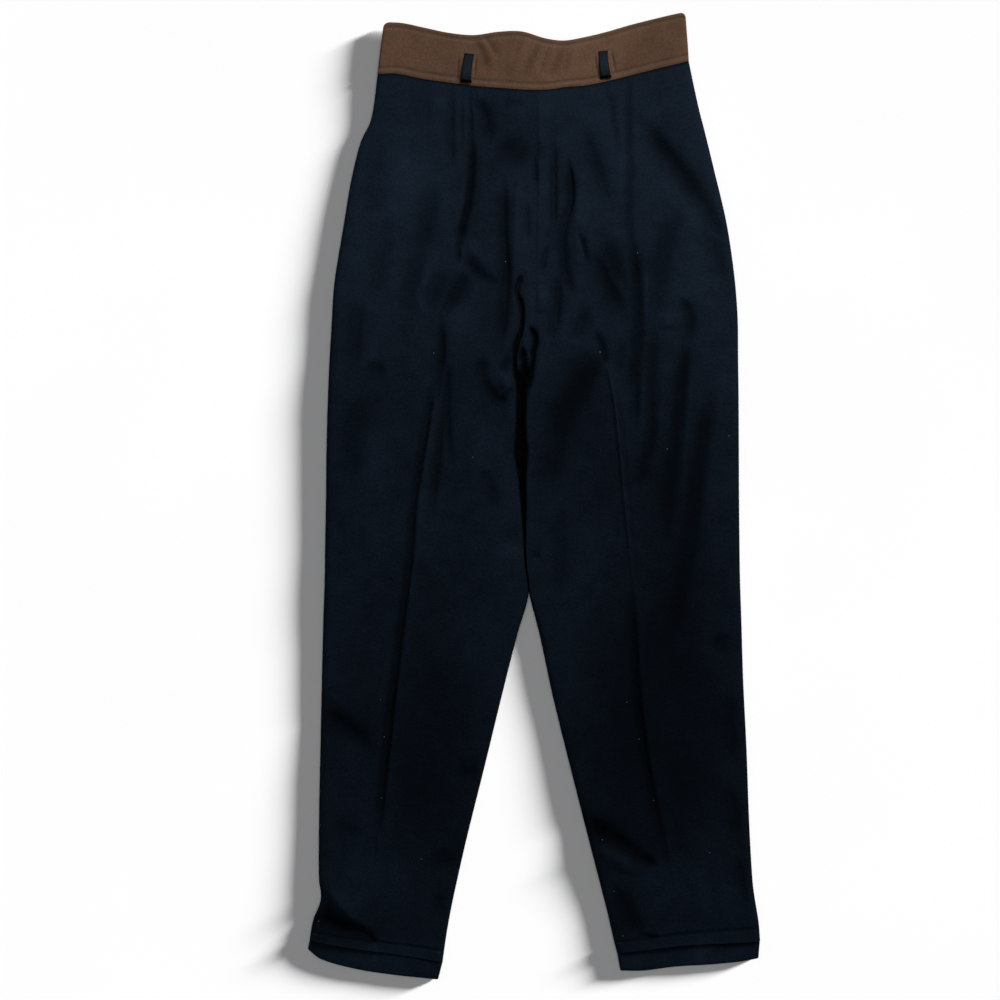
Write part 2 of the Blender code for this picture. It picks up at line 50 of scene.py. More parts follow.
# Cloth
WALL = 1.2
BAND_WALL = 2.0
CUFF_WALL = 1.8
LOOP_WALL = 1.2
SEAM_GAP = 0.3

# How the layers lie on each other
PANEL_FACE = 7.0
FACE_LOWEST = 3.1
WAIST_LOWEST = 5.6
SETTLING = 3.0
SEAM_LEVEL = 2.35
WAIST_RISE = 60.0
FRONT_WAIST = 3.0
BACK_WAIST = 7.0
FRONT_BAND = 2.7
BACK_BAND = 7.4
BAND_SEAM_LEVEL = 5.05

# Under the waistband the cloth is held, so its folds are lower
HELD_BELOW_WAIST = 25.0
HELD_SHARE = 0.6

# Edges that turn down to a seam
TOP_TURN = 9.0
UNDER_TURN = 4.0
END_TURN = 3.0
CORNER_ROUND = 7.0

# Inner edges, which press together down to where the legs part. The painted shade in the gap between
# the thighs fades out between two multiples of its half width.
CENTRE_GAP = 0.04
CENTRE_FLAT_ABOVE = 148.0
CENTRE_TURNED_BELOW = 128.0
LEGS_PART_AT = -105.0
PARTING = 15.0
OUTLINE_REACH = 12.0
GAP_TURN = 1.3
GAP_SIDES = (0.75, 1.3)
GAP_END = 12.0

# Hem tuck: its step, and the stitched dent above it
TUCK_DEPTH = 10.5
TUCK_HEIGHT = 1.1
TUCK_STEP = (-1.2, 0.4)
TUCK_DENT = 0.6
TUCK_DENT_UP = 1.0
TUCK_DENT_WIDTH = 1.3
CUFF_BELOW_PANEL = 0.6
CUFF_DROP = 0.6

# Front closure. Each lap rises from its first place to its second, and falls from its third on
LAP_FROM = -10.0
LAP_TO = 30.0
LAP_RAMP = 16.0
LAP_CLEARANCE = 3.0
LAP_GAP = 2.0
LAP_LIFT = 2.5
LAP_END = LAP_TO + LAP_CLEARANCE
FRONT_LAP = (LAP_FROM - 2 * LAP_RAMP, LAP_FROM - LAP_RAMP, LAP_END, LAP_END + LAP_RAMP)
BACK_LAP = (
    LAP_FROM - LAP_GAP - 3 * LAP_RAMP,
    LAP_FROM - LAP_GAP,
    LAP_END + LAP_CLEARANCE,
    LAP_END + 3 * LAP_RAMP + 2 * LAP_CLEARANCE,
)

# Belt loops
LOOP_WIDTH = 10.4
LOOP_LENGTH = 30.0
LOOP_LONGER = 1.04
LOOP_TURNED = (0.9, 0.94)
LOOP_FLARE = 0.16
LOOP_NARROWER = 0.04
LOOP_SWAY = 0.6
LOOP_ARCH = 2.2
LOOP_ARCH_UNDER = 0.9
LOOP_BOW_LOW = 2.2
LOOP_BOW_END = 0.93
LOOP_SIDE_WALL = 0.35
LOOP_SIDE_ROUND = 6

# Pressed leg creases
CREASE_HEIGHT = 1.3
CREASE_SHARP = 1.1
CREASE_SOFT = 3.4
LEFT_TROUGH = 2.2
LEFT_TROUGH_WIDTH = 4.6
LEFT_TROUGH_AWAY = 5.2
RIGHT_TROUGH = 1.0
RIGHT_TROUGH_WIDTH = 1.8
RIGHT_TROUGH_AWAY = 4.2

# Seat seam, and the seam allowance pressed to its right: where each side of its strip rises
SEAM_GROOVE = 0.05
SEAM_GROOVE_WIDTH = 0.9
SEAM_STARTS = (150.0, 185.0)
ALLOWANCE_HEIGHT = 0.5
ALLOWANCE_STARTS = (180.0, 220.0)
ALLOWANCE_NEAR = (0.0, 3.0)
ALLOWANCE_FAR = (12.5, 16.5)

# Topstitching
STITCH = 2.9
STITCH_GAP = 0.7
STITCH_RADIUS = 0.22
STITCH_SIDES = 6
STITCH_BURIED = 0.6
STITCH_SINK = 0.8
STITCH_DENT_WIDTH = 1.5
STITCH_FROM_END = 5.0
STITCH_FROM_LAP = 3.0
STITCH_ROWS = (("top", 5.2), ("low", 6.0))

# Waistband and hem band edges dip a little
BAND_EDGE_DIP = 0.35
BAND_EDGE_WIDTH = 0.8

# Folds: a narrow core on a wide tail, both fading towards the ends. Widths are multiples of the
# fold's own half width.
FOLD_DEPTH = 1.15
FOLD_SAMPLES = 14
FOLD_REACH = 6.0
FOLD_FADE = 0.35
LEAN_WIDENS = 0.6
CORE_SHARE = 0.7
CORE_WIDTH_AT_END = 0.7
CORE_WIDTH_MORE = 0.3
TAIL_SHARE = 0.3
TAIL_WIDTH = 2.5

# Painted shade in the cloth's hollows, on its steep sides, under the waistband, at the hem tuck, in broad
# patches and along the belt loops, and painted highlight on its ridges
HOLLOW_SPREAD = 1.35
HOLLOW_DEPTH = 5.0
HOLLOW_DARKEST = 0.9
STEEP_SHADE = 0.6
STEEP_DARKEST = 0.5
# Painted shadow lines under the waistband's edge and in the dent of the hem tuck
WAIST_SHADOW = 0.6
WAIST_SHADOW_WIDTH = 1.1
TUCK_DENT_SHADE = 0.35
UNDER_TUCK_SHADE = 0.6
UNDER_TUCK_WIDTH = 1.3
BAND_SHADE_DEPTH = 4.0
FRONT_SHADE_DEPTH = 3.0
# Painted highlight on ridges, on the pressed creases and on the seam allowance
RIDGE_HIGHLIGHT = 0.25
RIDGE_HIGHLIGHT_HEIGHT = 2.0
ALLOWANCE_HIGHLIGHT = 0.45
PATCH_EDGE = 1.5
LOOP_EDGE_SHADE = 0.55
LOOP_SIDE_LINE = 0.9
LOOP_TOP_LINE = 1.2
LOOP_TURNED_SHADE = 0.93

# Grids: rows lie closer together at the fork and at the hem tuck
PANEL_COLUMNS = (50, 32, 34)
PANEL_TURN_STEPS = 8
PANEL_ROWS = 350
FORK_STRIP = 34.0
FORK_LEVEL = 165.0
FORK_REACH = 50.0
FORK_CLOSER = 1.3
HEM_REACH = 9.0
HEM_CLOSER = 2.0
ROW_SAMPLES = 8
UNDER_COLUMNS = 56
UNDER_TURN_STEPS = 4
UNDER_ROWS = 200
BAND_COLUMNS = 440
BAND_ROWS = 42
BAND_TURN_STEPS = 4
CUFF_COLUMNS = 90
CUFF_ROWS = 18
LOOP_COLUMNS = 22
LOOP_ROWS = 64
STITCH_SAMPLES = 90
SHARP_ANGLE = 50.0

Section = namedtuple("Section", "name outer_x outer_y inner_x inner_y crease_x")

LEFT_LEG = (
    Section("waist", -167.5, 449.0, 3.0, 431.5, -72),
    Section("side notch", -174.4, 402.5, 3.2, 387.5, -66),
    Section("upper hip", -186.0, 376.5, 3.3, 361.5, -65),
    Section("hip", -196.0, 336.0, 2.9, 322.0, -71),
    Section("seat", -205.0, 282.5, 2.1, 268.5, -80),
    Section("low seat", -214.0, 226.0, 2.4, 213.0, -91),
    Section("fork", -217.0, 181.0, -2.9, 169.0, -101),
    Section("below fork", -219.5, 138.0, -10.9, 127.5, -102),
    Section("upper thigh", -221.0, 100.5, -13.6, 90.0, -107),
    Section("thigh", -222.5, 47.0, -13.4, 36.5, -116),
    Section("mid thigh", -223.0, -6.5, -10.9, -17.0, -124),
    Section("above knee", -224.0, -60.0, -9.3, -70.5, -128),
    Section("legs part", -224.5, -94.0, -5.4, -105.0, -132),
    Section("knee", -226.0, -140.0, -18.2, -152.0, -138),
    Section("below knee", -227.5, -204.5, -34.6, -217.0, -146),
    Section("calf", -229.0, -274.0, -52.1, -289.0, -154),
    Section("low calf", -230.5, -354.0, -72.5, -371.0, -162),
    Section("ankle", -230.5, -413.0, -86.0, -431.0, -165),
    Section("ankle notch", -228.5, -434.5, -90.3, -452.5, -166),
    Section("above tuck", -236.5, -456.0, -94.0, -474.0, -168),
    Section("hem", -240.5, -477.5, -97.9, -501.0, -169),
)
RIGHT_LEG = (
    Section("waist", 165.9, 462.5, 3.0, 431.5, 49),
    Section("side notch", 176.5, 415.0, 3.2, 387.5, 47),
    Section("upper hip", 183.0, 389.5, 3.3, 361.5, 46),
    Section("hip", 193.5, 346.5, 2.9, 322.0, 46),
    Section("seat", 206.5, 291.0, 2.1, 268.5, 52),
    Section("low seat", 215.0, 233.5, 2.4, 213.0, 66),
    Section("fork", 218.5, 188.5, -2.9, 169.0, 73),
    Section("below fork", 219.0, 145.5, -10.9, 127.5, 79),
    Section("upper thigh", 219.5, 107.0, -13.6, 90.0, 86),
    Section("thigh", 219.8, 53.5, -13.4, 36.5, 92),
    Section("mid thigh", 220.0, 0.0, -10.9, -17.0, 97),
    Section("above knee", 220.5, -54.5, -9.3, -70.5, 103),
    Section("legs part", 221.0, -89.0, -5.4, -105.0, 107),
    Section("knee", 222.5, -136.0, 6.4, -152.0, 111),
    Section("below knee", 224.5, -201.0, 20.3, -217.0, 115),
    Section("calf", 228.0, -273.0, 38.0, -289.0, 124),
    Section("low calf", 231.0, -355.0, 58.9, -371.0, 140),
    Section("ankle", 234.5, -415.0, 74.4, -431.0, 152),
    Section("ankle notch", 237.0, -434.5, 79.7, -452.5, 155),
    Section("above tuck", 241.0, -459.0, 84.8, -475.0, 158),
    Section("hem", 242.5, -478.5, 89.0, -491.5, 161),
)

Station = namedtuple("Station", "top_x top_y low_x low_y")

WAISTBAND = (
    Station(-161.6, 505.0, -167.5, 449.4),
    Station(-141.2, 504.0, -147.7, 449.9),
    Station(-115.6, 498.6, -117.7, 444.0),
    Station(-89.9, 493.3, -87.7, 439.8),
    Station(-64.2, 491.1, -62.1, 436.6),
    Station(-38.5, 494.3, -36.4, 434.4),
    Station(-12.8, 494.3, -10.7, 432.3),
    Station(12.8, 486.9, 15.0, 432.3),
    Station(32.1, 484.7, 34.2, 435.0),
    Station(51.4, 487.9, 53.5, 436.6),
    Station(77.0, 494.3, 79.2, 441.9),
    Station(102.7, 501.8, 104.9, 448.3),
    Station(128.4, 508.3, 130.5, 454.8),
    Station(150.5, 513.5, 152.0, 460.0),
    Station(162.6, 515.7, 165.9, 463.4),
)
LEFT_CUFF = (
    Station(-240.2, -478.3, -242.4, -487.4),
    Station(-226.8, -481.0, -228.2, -498.2),
    Station(-194.7, -486.3, -187.3, -509.3),
    Station(-154.1, -492.2, -151.9, -514.7),
    Station(-122.0, -497.0, -122.0, -517.9),
    Station(-97.9, -501.6, -102.7, -520.0),
)
RIGHT_CUFF = (
    Station(89.3, -492.0, 92.6, -510.4),
    Station(124.1, -487.9, 117.7, -510.4),
    Station(159.4, -483.5, 151.9, -506.1),
    Station(184.0, -481.8, 186.2, -504.0),
    Station(220.4, -480.4, 220.4, -500.8),
    Station(242.2, -479.2, 240.8, -497.0),
)

# How strong each part of a pressed crease is, by the height on the inner edge: its ridge, and the
# troughs on its left and right
Pressed = namedtuple("Pressed", "level ridge left right")

LEFT_PRESSED = (
    Pressed(175.0, 0.0, 0.0, 0.0),
    Pressed(150.0, 0.1, 0.0, 0.6),
    Pressed(115.0, 0.3, 0.2, 0.6),
    Pressed(92.0, 1.0, 0.75, 0.1),
    Pressed(0.0, 1.0, 0.85, 0.0),
    Pressed(-70.0, 1.0, 1.0, 0.0),
    Pressed(-280.0, 1.0, 1.1, 0.0),
    Pressed(-340.0, 0.8, 0.8, 0.0),
    Pressed(-375.0, 0.0, 0.0, 0.0),
)
RIGHT_PRESSED = (
    Pressed(150.0, 0.0, 0.0, 0.0),
    Pressed(120.0, 1.1, 0.0, 0.2),
    Pressed(70.0, 1.4, 0.0, 1.1),
    Pressed(-50.0, 1.3, 0.0, 1.0),
    Pressed(-100.0, 0.7, 0.1, 0.2),
    Pressed(-150.0, 0.7, 0.9, 0.0),
    Pressed(-280.0, 0.8, 1.25, 0.0),
    Pressed(-345.0, 0.5, 0.8, 0.0),
    Pressed(-400.0, 0.3, 0.2, 0.0),
    Pressed(-440.0, 0.0, 0.0, 0.0),
)

# Where the thighs press together: half the width of the gap, which is painted dark, by the height on the
# inner edge
Gap = namedtuple("Gap", "level half_width")

LEG_GAP = (
    Gap(148.0, 5.0),
    Gap(128.0, 8.2),
    Gap(112.0, 6.6),
    Gap(82.0, 5.6),
    Gap(58.0, 6.6),
    Gap(44.0, 7.8),
    Gap(33.0, 6.8),
    Gap(19.0, 4.6),
    Gap(-12.0, 3.3),
    Gap(-33.0, 2.2),
    Gap(-55.0, 1.3),
    Gap(-80.0, 1.1),
    Gap(-105.0, 1.0),
)

# A fold is a curve through three points, with its half width, its height and its lean.
# A trough has a height below 0. A lean above 0 makes the side nearer +X the gentler one.
# start and end are the share of the height that is left at each end, where another fold takes over.
Fold = namedtuple("Fold", "name x1 y1 x2 y2 x3 y3 width height lean start end", defaults=(0, 0, 0))

SEAT_FOLDS = (
    Fold("left dart, thin start", -69, 432, -68, 405, -68, 374, 1.7, -1.4, 0.3, 0.4, 1),
    Fold("left dart, deep fold", -68, 380, -67.4, 345, -71.5, 309, 3.2, -2.9, 0.3, 0.35, 1),
    Fold("left dart, deep fold, lower", -71.5, 309, -77, 289, -80.5, 268, 3.4, -3.4, 0.5, 1, 0.4),
    Fold("left dart, edge of the fold", -72.5, 345, -77.5, 305, -84.5, 262, 1.8, 0.9),
    Fold("left dart, end of the fold", -80.5, 270, -81.5, 258, -79, 242, 1.9, -2.0, 0.3, 0.9, 0),
    Fold("left dart fold, turning in", -75, 258, -62, 237, -36, 224, 4.6, -2.1, 0.3, 0.2, 0.5),
    Fold("left dart fold, full part above", -74, 274, -61, 256, -44, 238, 5.5, 1.1),
    Fold("left of the seat seam, upper", -31, 345, -32, 290, -29, 240, 4.5, -2.4, -0.3, 0, 1),
    Fold("left of the seat seam, lower", -29, 240, -31, 200, -38, 150, 5.0, -2.4, -0.3, 1, 0.3),
    Fold("between the fold and the seam", -16, 352, -19, 290, -22, 222, 4.8, 1.5, 0, 0, 0.4),
    Fold("soft line beside the seam", -8, 314, -7, 290, -7, 266, 2.4, -1.1),
    Fold("left edge of the seam", 0, 378, 0.5, 350, 1, 322, 2.6, -1.7, 0, 0.2, 0),
    Fold("below the band, left middle", -38, 409, -22, 418, -5, 409, 3.6, -1.1),
    Fold("soft hollow, left middle", -40, 378, -22, 364, 0, 366, 12.0, -2.3, 0, 0.2, 0.6),
    Fold("left, slanting from the band", -67, 424, -52, 402, -50, 366, 6.5, -1.9, 0, 0.4, 0),
    Fold("left, soft from the band", -115, 438, -116, 415, -115, 385, 6.0, -0.8, 0, 0.6, 0),
    Fold("left, soft ridge from the band", -104, 440, -103, 400, -105, 350, 8.0, 0.6, 0, 0.6, 0),
    Fold("left hip, soft", -110, 350, -119, 270, -146, 178, 9.0, -2.0, 0, 0, 0.3),
    Fold("left hip, full part beside it", -112, 272, -117, 240, -121, 196, 6.5, 1.1),
    Fold("left hip, outer arc", -150, 300, -166, 250, -172, 190, 9.0, -1.1),
    Fold("left side, soft", -160, 400, -172, 336, -184, 275, 10.0, -1.0),
    Fold("left side, long ridge", -140, 380, -148, 320, -150, 250, 14.0, 1.0),
    Fold("left low seat, outer hollow", -96, 240, -108, 220, -116, 194, 7.5, -1.6, 0, 0.2, 0.2),
    Fold("left low seat, inner hollow", -71, 242, -82, 217, -100, 188, 5.6, -2.1),
    Fold("left low seat, curved ridge", -121, 235, -124, 210, -106, 180, 4.5, 0.9),
    Fold("left thigh top, soft", -145, 190, -142, 174, -136, 150, 8.0, -0.7),
    Fold("left side of the thigh", -182, 212, -190, 174, -190, 130, 6.0, -1.6, -0.4),
    Fold("left side, dent below", -182, 140, -169, 132, -156, 132, 6.0, -1.1),
    Fold("left crease, first dark line", -101, 190, -100, 150, -105, 104, 3.0, -2.2, 0.4, 0.3, 0.8),
    Fold("left crease, beside it", -94, 150, -94, 113, -98, 70, 3.2, -2.0, 0, 0, 1),
    Fold("left crease, inner side fading", -98, 74, -103, 40, -113, -45, 3.2, -1.8, 0, 1, 0),
    Fold("left crease, second line", -88, 144, -93, 85, -86, 12, 3.2, -1.8, 0, 0.2, 0),
    Fold("right of the allowance", 20, 400, 22, 324, 21, 262, 3.5, -1.6, -0.3),
    Fold("right seat, sharp upper part", 34, 368, 41, 325, 36, 298, 3.4, -2.5, -0.6, 0, 0.9),
    Fold("right seat, middle part", 36, 298, 31, 275, 32, 255, 4.8, -2.1, -0.3, 0.9, 1),
    Fold("right seat, lower part", 32, 255, 34, 235, 42, 206, 5.0, -2.2, 0, 1, 0),
    Fold("right seat, ridge beside it", 50, 330, 46, 285, 47, 240, 5.0, 0.9),
    Fold("right seat, soft", 50, 398, 66, 350, 86, 292, 6.6, -1.7),
    Fold("right seat, sharp nick", 46, 282, 54, 262, 60, 236, 1.8, -1.9, 0.6, 0.3, 0),
    Fold("right low seat hollow", 60, 266, 79, 226, 97, 184, 7.6, -2.6, -0.2, 0.1, 0.3),
    Fold("right low seat, broad part", 70, 274, 84, 244, 100, 206, 11.0, -1.7, 0, 0.2, 0.4),
    Fold("right dart line", 78, 434, 84, 399, 91, 345, 2.0, -1.1, 0.7, 0.7, 0),
    Fold("right long fold, from the band", 101, 438, 100, 393, 102, 345, 2.6, -1.6, 0.5, 0.7, 1),
    Fold("right long fold, middle", 102, 345, 100, 300, 104, 262, 2.8, -1.6, 0.5, 1, 1),
    Fold("right long fold, deepest", 104, 262, 110, 225, 111, 172, 4.6, -2.8, 0, 0.6, 0.8),
    Fold("right long fold, lower end", 111, 172, 109, 138, 104, 98, 5.0, -2.2, 0, 1, 0),
    Fold("ridge right of the long fold", 119, 250, 121, 210, 120, 160, 5.0, 1.1),
    Fold("ridge left of the long fold", 94, 400, 93, 330, 94, 285, 4.0, 0.7),
    Fold("right hip, slanting", 111, 399, 152, 352, 196, 284, 7.6, -2.9, 0, 0.2, 0.5),
    Fold("right hip, ridge below it", 125, 352, 152, 318, 180, 270, 10.0, 0.9),
    Fold("right hip, soft upright", 158, 312, 137, 250, 124, 158, 8.5, -2.0, 0, 0, 0.2),
    Fold("right hip, outer soft", 182, 292, 193, 256, 202, 216, 7.0, -1.1),
    Fold("right of the seam, slanting", 27, 244, 25, 204, 20, 160, 3.8, -1.9),
    Fold("from the seam, short", 17, 266, 11, 252, 6, 228, 3.0, -1.6),
    Fold("full patch below the seam", 8, 222, 10, 205, 8, 190, 7.0, 1.0),
)
FORK_FOLDS = (
    Fold("left of the fork, first crack", -11.5, 234, -16.5, 226, -18.6, 214, 2.2, -2.4, 0, 0.1, 1),
    Fold("left of the fork, crack, top", -18.6, 214, -14.2, 204, -12.4, 194, 2.0, -3.6, 0, 0.6, 1),
    Fold("left of the fork, crack", -12.4, 194, -12.2, 182, -14.6, 170, 1.7, -4.2, 0, 0.8, 1),
    Fold("left of the fork, crack end", -14.6, 170, -20.2, 148, -17.0, 108, 2.0, -4.6, 0, 1, 0.3),
    Fold("right of the fork, crack", -7, 179, 1.4, 168, -0.8, 152, 1.7, -4.0, 0, 0.2, 1),
    Fold("right of the fork, crack end", -0.8, 152, -2.2, 136, -7.5, 104, 1.6, -4.2, 0, 1, 0.3),
    Fold("between the cracks, dark foot", -13, 160, -11.5, 143, -8, 124, 2.2, -4.6, 0, 0, 1),
    Fold("tongue at the fork, upper", -9.6, 206, -9.6, 186, -12.6, 165, 1.1, 1.6, 0, 0.3, 1),
    Fold("tongue at the fork, middle", -12.8, 165, -17, 152, -18.4, 139, 1.2, 3.0, 0, 1, 1),
    Fold("tongue at the fork, hook", -18.4, 139, -16.5, 131, -11, 127, 1.2, 3.0, 0, 1, 0.3),
    Fold("left fork hollow, upper", -52, 150, -56, 128, -46, 108, 5.4, -2.0, 0, 0, 1),
    Fold("left fork hollow, lower", -46, 108, -39, 100, -25, 102, 5.8, -2.3, 0, 1, 0.1),
    Fold("left fork, small hollow", -39, 130, -30, 138, -23, 152, 4.0, -1.9, 0, 0, 0.6),
    Fold("left fork, full lobe", -40, 121, -29, 117, -22, 110, 6.0, 1.6),
    Fold("right fork, first upright", 24, 206, 21, 186, 16, 156, 4.5, -1.5),
    Fold("right fork, second upright", 58, 202, 49, 179, 39, 160, 4.5, -1.5),
    Fold("right fork, ridge between", 38, 205, 33, 180, 26, 150, 5.0, 0.8),
    Fold("right inner hollow, tip", 72, 150, 52, 116, 33, 80, 11.0, -2.7, -0.4, 0.1, 1),
    Fold("right inner hollow, foot", 32, 80, 22, 44, 9, -20, 11.0, -2.3, -0.2, 1, 0),
    Fold("right, sharp above the hollow", 64, 176, 73, 154, 79, 128, 3.0, -2.0, 0.5),
    Fold("right, short beside the crease", 101, 168, 93, 145, 87, 122, 3.5, -1.3),
)
THIGH_FOLDS = (
    Fold("right thigh, hook", 152, 210, 166, 190, 161, 150, 4.6, -2.3, 0, 0, 0.2),
    Fold("right thigh, full patch", 143, 196, 144, 186, 145, 174, 7.0, 1.2),
    Fold("right thigh, long upper", 163, 172, 159, 125, 153, 82, 4.2, -2.4, 0, 0.2, 1),
    Fold("right thigh, long lower", 153, 82, 146, 19, 136, -72, 4.8, -2.3, 0, 1, 0),
    Fold("right thigh, light strip", 167, 150, 164, 70, 155, -40, 4.6, 1.5),
    Fold("right outer thigh, upper", 192, 118, 178, 40, 167, -50, 6.4, -2.2, 0, 0, 1),
    Fold("right outer thigh, lower", 167, -50, 157, -106, 142, -175, 7.0, -2.1, 0, 1, 0),
    Fold("right outer edge, light strip", 200, 120, 192, 40, 184, -50, 7.0, 0.8),
    Fold("right inner thigh, upper", 131, 189, 125, 129, 125, 73, 4.4, -1.8, 0, 0, 1),
    Fold("right inner thigh, lower", 125, 73, 118, 32, 105, 0, 4.2, -1.7, 0, 1, 0),
    Fold("right thigh, near the crease", 110, 136, 109, 104, 106, 62, 3.6, -1.7),
    Fold("right thigh, strip between", 118, 140, 116, 95, 114, 45, 4.0, 1.0),
    Fold("right thigh, strip outside", 140, 150, 137, 90, 130, 20, 5.0, 1.1),
    Fold("left thigh, inner", -61, 24, -48, 7, -38, -30, 6.0, -1.3),
    Fold("left thigh, soft full part", -60, 80, -58, 40, -62, -20, 12.0, 0.9),
    Fold("left thigh, broad hollow", -140, 60, -146, 10, -150, -50, 14.0, -0.9),
    Fold("right inner thigh, soft hollow", 84, 30, 78, -10, 74, -60, 12.0, -0.8),
    Fold("left outer thigh, soft", -182, 108, -194, 57, -200, -20, 9.0, -1.7),
    Fold("left outer thigh, ridge", -165, 90, -172, 20, -176, -80, 13.0, 0.9),
    Fold("left knee, cross wrinkle", -105, -25, -83, -28, -58, -34, 2.5, -0.6),
    Fold("left knee, outer wrinkle", -200, -12, -170, -14, -135, -12, 2.0, -0.5),
    Fold("left knee, full patch", -25, -50, -26, -62, -26, -76, 8.0, 0.6),
    Fold("right knee, short wrinkle", -4, -65, 2, -67, 9, -67, 2.5, -1.0),
    Fold("right knee, inner", 27, -8, 28, -59, 24, -140, 6.0, -1.0),
    Fold("left knee, soft", -130, -60, -118, -110, -100, -170, 12.0, -0.8),
)
CALF_FOLDS = (
    Fold("left calf, slanting", -229, -238, -202, -248, -168, -284, 7.5, -2.5, 0, 0.4, 0),
    Fold("left calf, full below it", -214, -262, -196, -290, -190, -340, 12.0, 0.9),
    Fold("left low calf", -218, -352, -201, -361, -182, -369, 6.0, -1.1),
    Fold("left calf, inner side", -54, -298, -70, -300, -86, -303, 7.0, -1.6),
    Fold("left calf, inner dent", -103, -380, -97, -392, -92, -402, 7.0, -1.3),
    Fold("left ankle, inner", -103, -428, -102, -440, -100, -456, 5.0, -1.2),
    Fold("left ankle, pinched", -236, -447, -213, -460, -187, -468, 6.0, -3.8, 0, 0.7, 0.8),
    Fold("left ankle, hollow above the pinch", -231, -434, -222, -449, -206, -461, 4.6, -2.6, 0, 0.4, 0.2),
    Fold("left ankle, pinch runs on", -187, -468, -178, -473, -164, -486, 3.8, -2.4, 0, 1, 0),
    Fold("left ankle, full above it", -222, -415, -203, -443, -172, -470, 7.0, 2.4),
    Fold("left shin, light strip", -150, -380, -150, -420, -147, -465, 9.0, 0.7),
    Fold("right calf, slanting", 52, -350, 80, -366, 108, -386, 8.0, -3.6, 0, 0.7, 0.8),
    Fold("right calf, slanting end", 106, -385, 118, -392, 134, -400, 5.0, -2.8, 0, 1, 0),
    Fold("right calf, full below it", 64, -374, 88, -390, 116, -406, 8.0, 2.0),
    Fold("right ankle, curved", 84, -412, 98, -446, 112, -472, 8.0, -2.0, 0, 0, 0.5),
    Fold("right ankle, curved end", 112, -472, 124, -475, 138, -476, 3.5, -1.2, 0, 1, 0),
    Fold("right shin, light strip", 175, -390, 178, -430, 178, -470, 10.0, 0.7),
    Fold("right outer calf, upper", 207, -205, 210, -250, 211, -300, 4.5, -1.2),
    Fold("right outer calf, middle", 210, -312, 213, -340, 218, -385, 4.5, -1.5),
    Fold("right outer calf, low", 218, -385, 223, -415, 229, -452, 4.0, -1.5),
    Fold("right outer knee, dent", 198, -148, 200, -162, 196, -176, 7.0, -1.4),
    Fold("right knee, light marks", 160, -128, 170, -118, 182, -104, 5.0, 0.7),
)
DART_LINES = (
    Fold("left dart, stitched line", -78, 428, -77.5, 390, -78, 350, 1.1, -0.7, 0, 0.5, 0),
    Fold("left dart, outer fall", -89, 430, -89, 390, -87, 340, 4.2, -1.1, 0, 0.5, 0),
    Fold("left dart, pressed strip", -83, 434, -83, 390, -83, 340, 2.8, 0.7, 0, 0.5, 0),
    Fold("left dart, inner strip", -73.5, 434, -73.5, 390, -74, 355, 2.4, 0.5, 0, 0.5, 0),
)
BACK_FOLDS = SEAT_FOLDS + FORK_FOLDS + THIGH_FOLDS + CALF_FOLDS + DART_LINES

FRONT_FOLDS = (
    Fold("left front, from the band", -72, 425, -78, 360, -86, 290, 8.0, 0.9),
    Fold("right front, from the band", 74, 428, 82, 360, 90, 290, 8.0, 0.9),
    Fold("left front, from the fork", -12, 190, -45, 150, -90, 120, 9.0, 0.8),
    Fold("right front, from the fork", 6, 190, 40, 148, 86, 112, 9.0, 0.8),
    Fold("left front thigh", -160, 120, -158, 40, -150, -40, 11.0, 0.7),
    Fold("right front thigh", 158, 130, 160, 40, 152, -60, 11.0, 0.7),
    Fold("left front knee", -60, -120, -110, -140, -160, -150, 9.0, 0.6),
    Fold("right front calf", 70, -300, 120, -330, 180, -340, 9.0, 0.7),
    Fold("left front calf", -210, -380, -170, -400, -120, -410, 9.0, 0.7),
)
BAND_FOLDS = (
    Fold("left of the middle, long", -68, 490, -55, 470, -49, 444, 3.6, -0.95),
    Fold("left of the middle, short", -56, 491, -46, 480, -36, 464, 2.8, -0.7),
    Fold("left of the middle, full part", -60, 490, -50, 475, -42, 452, 3.2, 0.7),
    Fold("middle left, lower", -16, 472, -24, 455, -33, 439, 3.2, -0.8),
    Fold("middle left, upper", -10, 489, -17, 474, -21, 458, 3.0, -0.6),
    Fold("middle, slanting", 8, 486, -3, 464, -13, 439, 3.4, -1.15),
    Fold("middle, full part beside it", -4, 484, -12, 464, -23, 442, 4.0, 0.8),
    Fold("middle, short", 17, 478, 10, 462, 3, 444, 2.8, -0.7),
    Fold("middle, full strip", 12, 480, 6, 462, -2, 442, 2.6, 0.6),
    Fold("right of the middle, slanting", 32, 476, 23, 458, 16, 440, 3.2, -1.0),
    Fold("right of the middle, short", 40, 474, 34, 459, 30, 444, 2.6, -0.6),
    Fold("left loop, outer mark", -80.6, 468, -81.2, 457, -82.2, 446, 0.9, -1.1, 0, 0.3, 0.5),
    Fold("left loop, inner mark", -61, 474, -62.6, 458, -64, 444, 0.9, -1.1, 0, 0.3, 0.5),
    Fold("right loop, inner mark", 65.6, 472, 66.2, 460, 68.4, 449, 0.9, -1.1, 0, 0.3, 0.5),
    Fold("right loop, outer mark", 83.2, 474, 85, 462, 87, 452, 0.9, -1.1, 0, 0.3, 0.5),
)
NO_FOLDS = ()

# Soft-edged patches of painted shade. Below 0 is painted light instead.
Patch = namedtuple("Patch", "name x y half_width half_length darker")

